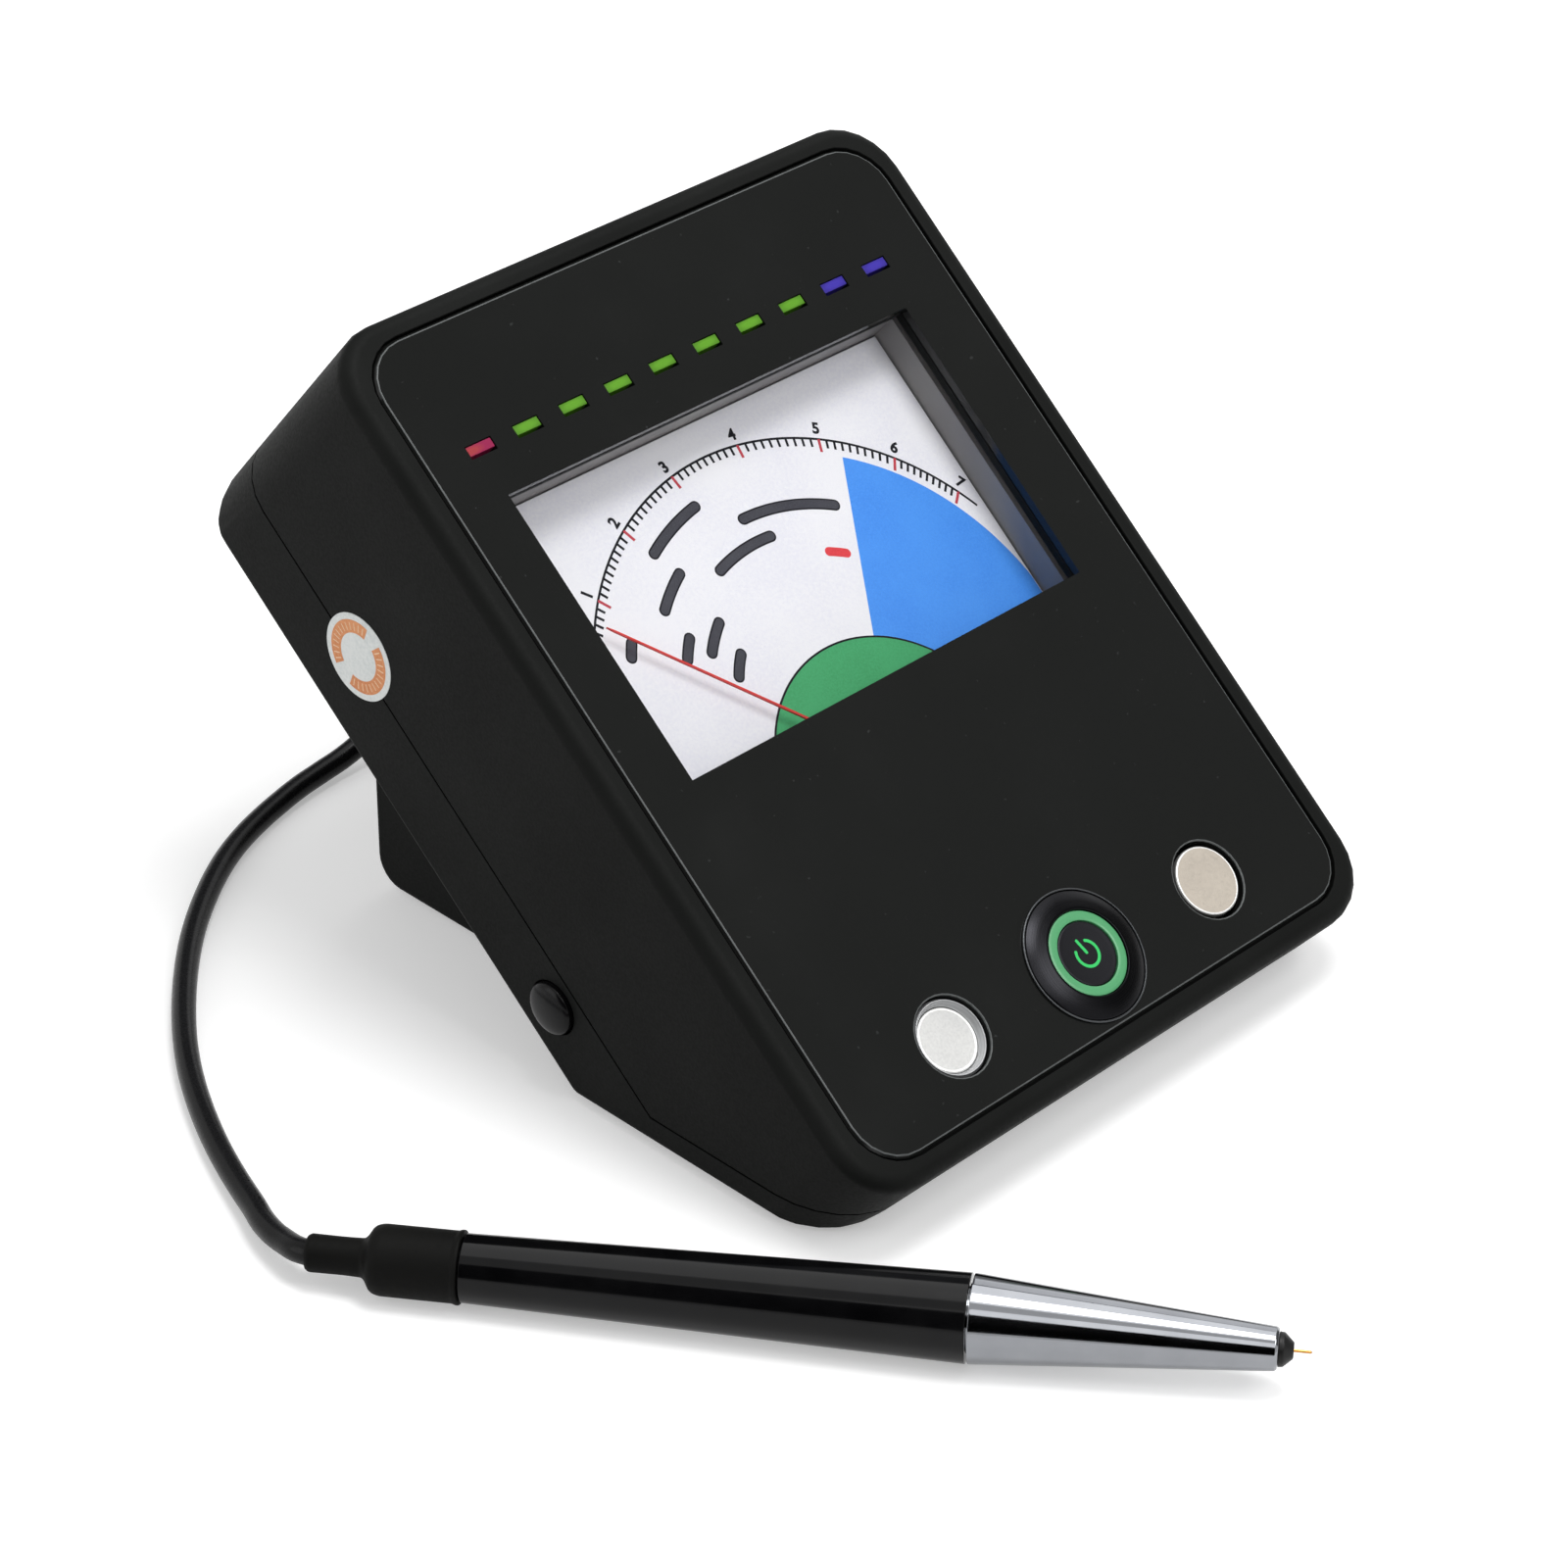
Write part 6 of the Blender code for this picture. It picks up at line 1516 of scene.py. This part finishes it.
    def build(self) -> None:
        """Prints the dial, makes the needle and dresses the rest."""
        self.scale()
        self.numbers()
        self.fields()
        self.bands()
        self.pointer()
        self.dress(CARD, "dial_plate")
        self.dress(CASE, "meter_case")
        self.dress(LENS, "meter_lens")
        self.dress(WINDING, "moving_coil")
        self.dress(IRON, "movement_yoke", "movement_core")
        self.dress(BRASS, "pivot_bridge")


@dataclass
class PushSwitch(Assembly):
    """The lit push switch: conical bezel, light ring, cap and its symbol.

    A profile has the radius and the height of each corner, in millimetres.
    """

    centre_v: float = -61.2
    nut_edge: float = 0.2 * MM
    bezel_profile: Pairs = (
        (5.70, -14.00), (9.30, -14.00), (9.30, 0.15), (10.90, 0.15), (10.74, 0.42), (9.40, 0.98),
        (7.62, 1.45), (7.26, 1.45), (7.26, -3.40), (5.70, -3.40), (5.70, -14.00),
    )
    bezel_cuts: tuple[float, ...] = (0.14, 0.14, 0.14, 0.14, 0.80, 0.14, 0.14, 0.14, 0.14)
    lip_profile: Pairs = (
        (10.88, 0.15), (11.25, 0.15), (11.25, 0.40), (11.16, 0.50), (10.98, 0.50), (10.88, 0.15),
    )
    ring_profile: Pairs = (
        (5.53, -3.10), (7.11, -3.10), (7.11, 1.20), (6.70, 1.28), (5.90, 1.28), (5.53, 1.20), (5.53, -3.10),
    )
    cap_profile: Pairs = (
        (0, -10.0), (5.38, -10.0), (5.38, 0.95), (5.20, 1.10), (4.60, 1.06), (2.5, 1.01), (0, 1.00),
    )
    profile_cut: float = 0.10
    even_light: float = 0.02
    symbol_arc: Triple = (2.15 * MM, 138, 412)
    symbol_width: float = 0.52 * MM
    symbol_turn: float = math.radians(12.0)
    symbol_low: float = 0.90 * MM
    symbol_high: float = 1.08 * MM
    symbol_edge: float = 0.02 * MM
    stem_length: float = 2.9 * MM
    stem_v: float = 1.40 * MM

    def lit(
        self, name: str, shape: tuple[Array, Array], finish: Finish, node: str = "", body: str = "console"
    ) -> None:
        """A piece that glows evenly, since its surface coordinates stay near the brightest spot.

        Args:
            name: The piece's name.
            shape: Its points and surface coordinates, by row and column.
            finish: What it is made of.
            node: The CAD node that it replaces, if any.
            body: The body that it moves with.
        """
        grid, flat = shape
        place = panel_place(0, self.centre_v)
        self.surface(name, (grid, 0.5 + self.even_light * flat), place, finish, "switch_light", node, body)

    def metal(self) -> None:
        """Tube behind the panel, cone up to the ring's bore, and past a groove a grey lip, which paints a
        highlight line.
        """
        place = panel_place(0, self.centre_v)
        looks = (BEZEL, "switch_metal", "power_bezel")
        self.lathed("switch_bezel", self.bezel_profile, place, *looks, cut=self.bezel_cuts)
        self.lathed("bezel_lip", self.lip_profile, place, LIP, "switch_metal", cut=0.05)

    def ring(self) -> None:
        """The light guide, slightly crowned."""
        line = softened(np.array(self.ring_profile) * MM, self.profile_cut * MM)
        self.lit("light_ring", turned(line), RING_LIGHT, "power_ring")

    def cap(self) -> None:
        """The pressed cap, faintly dished, with the power symbol let through it."""
        looks = (CAP, "switch_metal", "power_actuator", "switch_cap")
        place = panel_place(0, self.centre_v)
        self.lathed("switch_cap", self.cap_profile, place, *looks, cut=self.profile_cut)
        ring = arc_bar((0, 0), self.symbol_arc, self.symbol_width)
        stem = rounded_rectangle(self.symbol_width, self.stem_length, 0.49 * self.symbol_width, 8)
        c, s = math.cos(self.symbol_turn), math.sin(self.symbol_turn)
        turn = np.array([[c, s], [-s, c]])
        for name, outline in (("symbol_ring", ring), ("symbol_stem", stem + (0, self.stem_v))):
            shape = slab(outline @ turn, self.symbol_low, self.symbol_high, self.symbol_edge, 3)
            self.lit(name, shape, SYMBOL_LIGHT, body="switch_cap")

    def build(self) -> None:
        """Makes the switch and dresses what is behind it."""
        self.metal()
        self.ring()
        self.cap()
        self.refined("power_nut", "clamp_nut", STEEL, "steel", self.nut_edge)
        self.dress(NYLON, "switch_block")


@dataclass
class Controls(Assembly):
    """The two reference discs, the cup round the left one, and the knob in the left wall.

    A disc's edge has its outer and inner radius and the height of the disc's face.
    """

    disc_u: float = 30.0
    disc_v: float = -61.2
    right_edge: Triple = (5.95, 5.50, -0.35)
    left_edge: Triple = (5.38, 4.80, -1.65)
    edge_foot: float = -1.20
    edge_top: float = 0.02
    chamfer: tuple[float, float] = (0.19, 0.29)
    right_profile: Pairs = ((0, -4.70), (5.60, -4.70), (5.72, -0.35), (0, -0.35))
    left_profile: Pairs = ((0, -2.70), (5.00, -2.70), (5.05, -1.65), (0, -1.65))
    cup_profile: Pairs = (
        (0, -4.70), (6.50, -4.70), (6.50, -1.20), (6.20, -0.75), (6.15, -0.55), (6.02, -0.55),
        (5.45, -1.80), (5.45, -3.00), (0, -3.00),
    )
    knob_place: Triple = (-60.0, -23.1, -43.1)
    knob_foot: Pairs = ((0, -1.00), (3.30, -1.00), (3.30, -2.20), (4.50, -2.20))
    knob_radius: float = 4.5
    knob_rim: float = 0.5
    knob_rise: float = 1.4

    def edges(self) -> None:
        """The discs' chamfered rims, whose near-white colour paints the highlight round each face."""
        for name, side, (outer, inner, height), node in (
            ("right_disc_edge", 1, self.right_edge, "diamond_disc"),
            ("left_disc_edge", -1, self.left_edge, "simulant_disc"),
        ):
            across, down = self.chamfer
            foot, top = self.edge_foot + height, self.edge_top + height
            line = ((inner, foot), (outer, foot), (outer, top - down), (outer - across, top), (inner, top))
            place = panel_place(side * self.disc_u, self.disc_v)
            self.lathed(name, (*line, line[0]), place, DISC_EDGE_HIGHLIGHT, node, cut=0.10)

    def discs(self) -> None:
        """Both discs, and the cup with the tool's rings in its bore."""
        for name, line, side, finish, node in (
            ("right_disc", self.right_profile, 1, WARM_DISC, "diamond_disc"),
            ("left_disc", self.left_profile, -1, PALE_DISC, "simulant_disc"),
            ("left_cup", self.cup_profile, -1, CUP_METAL, "simulant_cup"),
        ):
            place = panel_place(side * self.disc_u, self.disc_v)
            self.lathed(name, line, place, finish, node, node, cut=0.06)

    def knob(self) -> None:
        """A domed knob: an upright rim and an elliptic crown, r = R cos a at h = H sin a."""
        a = np.linspace(0, QUARTER, 16)
        crown = (self.knob_radius * np.cos(a), self.knob_rim + self.knob_rise * np.sin(a))
        line = np.vstack([self.knob_foot, np.stack(crown, axis=1)]) * MM
        place = panel_place(*self.knob_place, Side.LEFT)
        self.surface("trim_knob", turned(line), place, KNOB, "knob", "cal_knob", "calibration")

    def build(self) -> None:
        """Makes the controls, and dresses the potentiometer, the cells and their contacts."""
        self.edges()
        self.discs()
        self.knob()
        self.dress(SPRING, "cal_pot")
        self.dress(CELL, *[f"battery_{k}" for k in range(1, 5)])
        contacts = ("front_left", "front_middle", "front_right", "rear_left", "rear_right")
        self.dress(SPRING, *[f"contact_{place}" for place in contacts])


@dataclass
class ProbePen(Assembly):
    """The pen: sleeve, barrel, chromed nose, insulator and copper tip, on one turned axis.

    The shrink tube has rolled lips and goes down to the cord, the lacquered tube widens to the
    nose and is turned down at the rear, and the chromed cone has a fine step at the barrel and a
    rounded mouth. The grommet in the leg's rear wall has two flex grooves round its nose.
    """

    sleeve_profile: Pairs = (
        (4.80, -75.60), (5.60, -75.60), (5.62, -76.10), (5.42, -76.60), (5.40, -87.90), (5.00, -89.10),
        (3.50, -90.00), (2.95, -90.60), (2.86, -93.50), (2.90, -98.70), (2.55, -99.20), (2.30, -99.20),
        (2.30, -85.30), (4.80, -85.30), (4.80, -75.60),
    )
    sleeve_cuts: tuple[float, ...] = (0.2, 0.2, 0.2, 1.2, 0.8, 0.9, 0.6, 0.8, 0.3, 0.2, 0.1, 0.1, 0.1)
    barrel_profile: Pairs = (
        (3.80, -85.00), (4.50, -85.00), (4.50, -75.30), (5.194, -75.30), (6.696, -0.20), (5.10, -0.20),
        (5.10, -6.30), (3.80, -6.30), (3.80, -85.00),
    )
    nose_profile: Pairs = (
        (3.90, -6.00), (4.80, -6.00), (4.80, 0.20), (6.70, 0.20), (6.69, 0.45), (3.27, 44.40),
        (2.95, 44.80), (2.30, 44.80), (2.30, 39.50), (1.55, 39.50), (1.55, 33.60), (3.90, 6.00),
        (3.90, -6.00),
    )
    cone_profile: Pairs = (
        (0.375, 39.80), (2.00, 39.80), (2.00, 44.83), (2.60, 44.83), (2.52, 45.60), (1.20, 47.00),
        (0.375, 47.00), (0.375, 39.80),
    )
    pin_profile: Pairs = ((0, 37.10), (1.0, 37.10), (1.0, 39.50), (0.225, 39.50), (0.225, 49.50), (0, 49.70))
    bush_profile: Pairs = (
        (0.0, -4.30), (5.20, -4.30), (5.20, -2.80), (3.70, -2.80), (3.70, 0.30), (5.20, 0.30),
        (5.20, 1.80), (3.40, 1.80), (3.34, 3.20), (3.00, 3.40), (3.00, 4.00), (3.26, 4.20),
        (3.20, 5.20), (2.86, 5.40), (2.86, 6.00), (3.12, 6.20), (3.00, 8.30), (2.30, 8.30),
        (2.30, 4.00), (0.0, 4.00),
    )
    bush_place: Triple = (0.0100, 0.0725, 0.0270)

    def build(self) -> None:
        """Makes the pen from its rear end to its tip, and the grommet."""
        sleeve = (SHRINK, "sleeve_rubber", "probe_sleeve")
        self.lathed("shrink_sleeve", self.sleeve_profile, PEN, *sleeve, cut=self.sleeve_cuts, fine=6)
        self.lathed("lacquered_barrel", self.barrel_profile, PEN, BARREL, "barrel", "probe_barrel")
        self.lathed("chromed_nose", self.nose_profile, PEN, CHROME, "chrome_nose", "probe_nose")
        cone = (NYLON, "insulation", "probe_insulator")
        self.lathed("nose_cone", self.cone_profile, PEN, *cone, facets=96)
        pin = (COPPER, "copper_tip", "probe_tip", "tip")
        self.lathed("contact_pin", self.pin_profile, PEN, *pin, cut=0.08, facets=48)
        place = BASE @ framed(((1, 0, 0), (0, 0, 1), (0, -1, 0)), self.bush_place)
        bush = (RUBBER, "sleeve_rubber", "cord_grommet")
        self.lathed("cord_bush", self.bush_profile, place, *bush, cut=0.25, facets=96)


def main() -> None:
    """Loads the frame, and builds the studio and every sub-assembly."""
    logging.basicConfig(level=logging.INFO, format="%(name)s: %(message)s")
    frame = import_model()
    Studio().build()
    for kind in (ProbeCord, Housing, Panel, Meter, PushSwitch, Controls, ProbePen):
        LOG.info("building %s", kind.__name__)
        kind(frame).build()


if __name__ == "__main__":
    main()
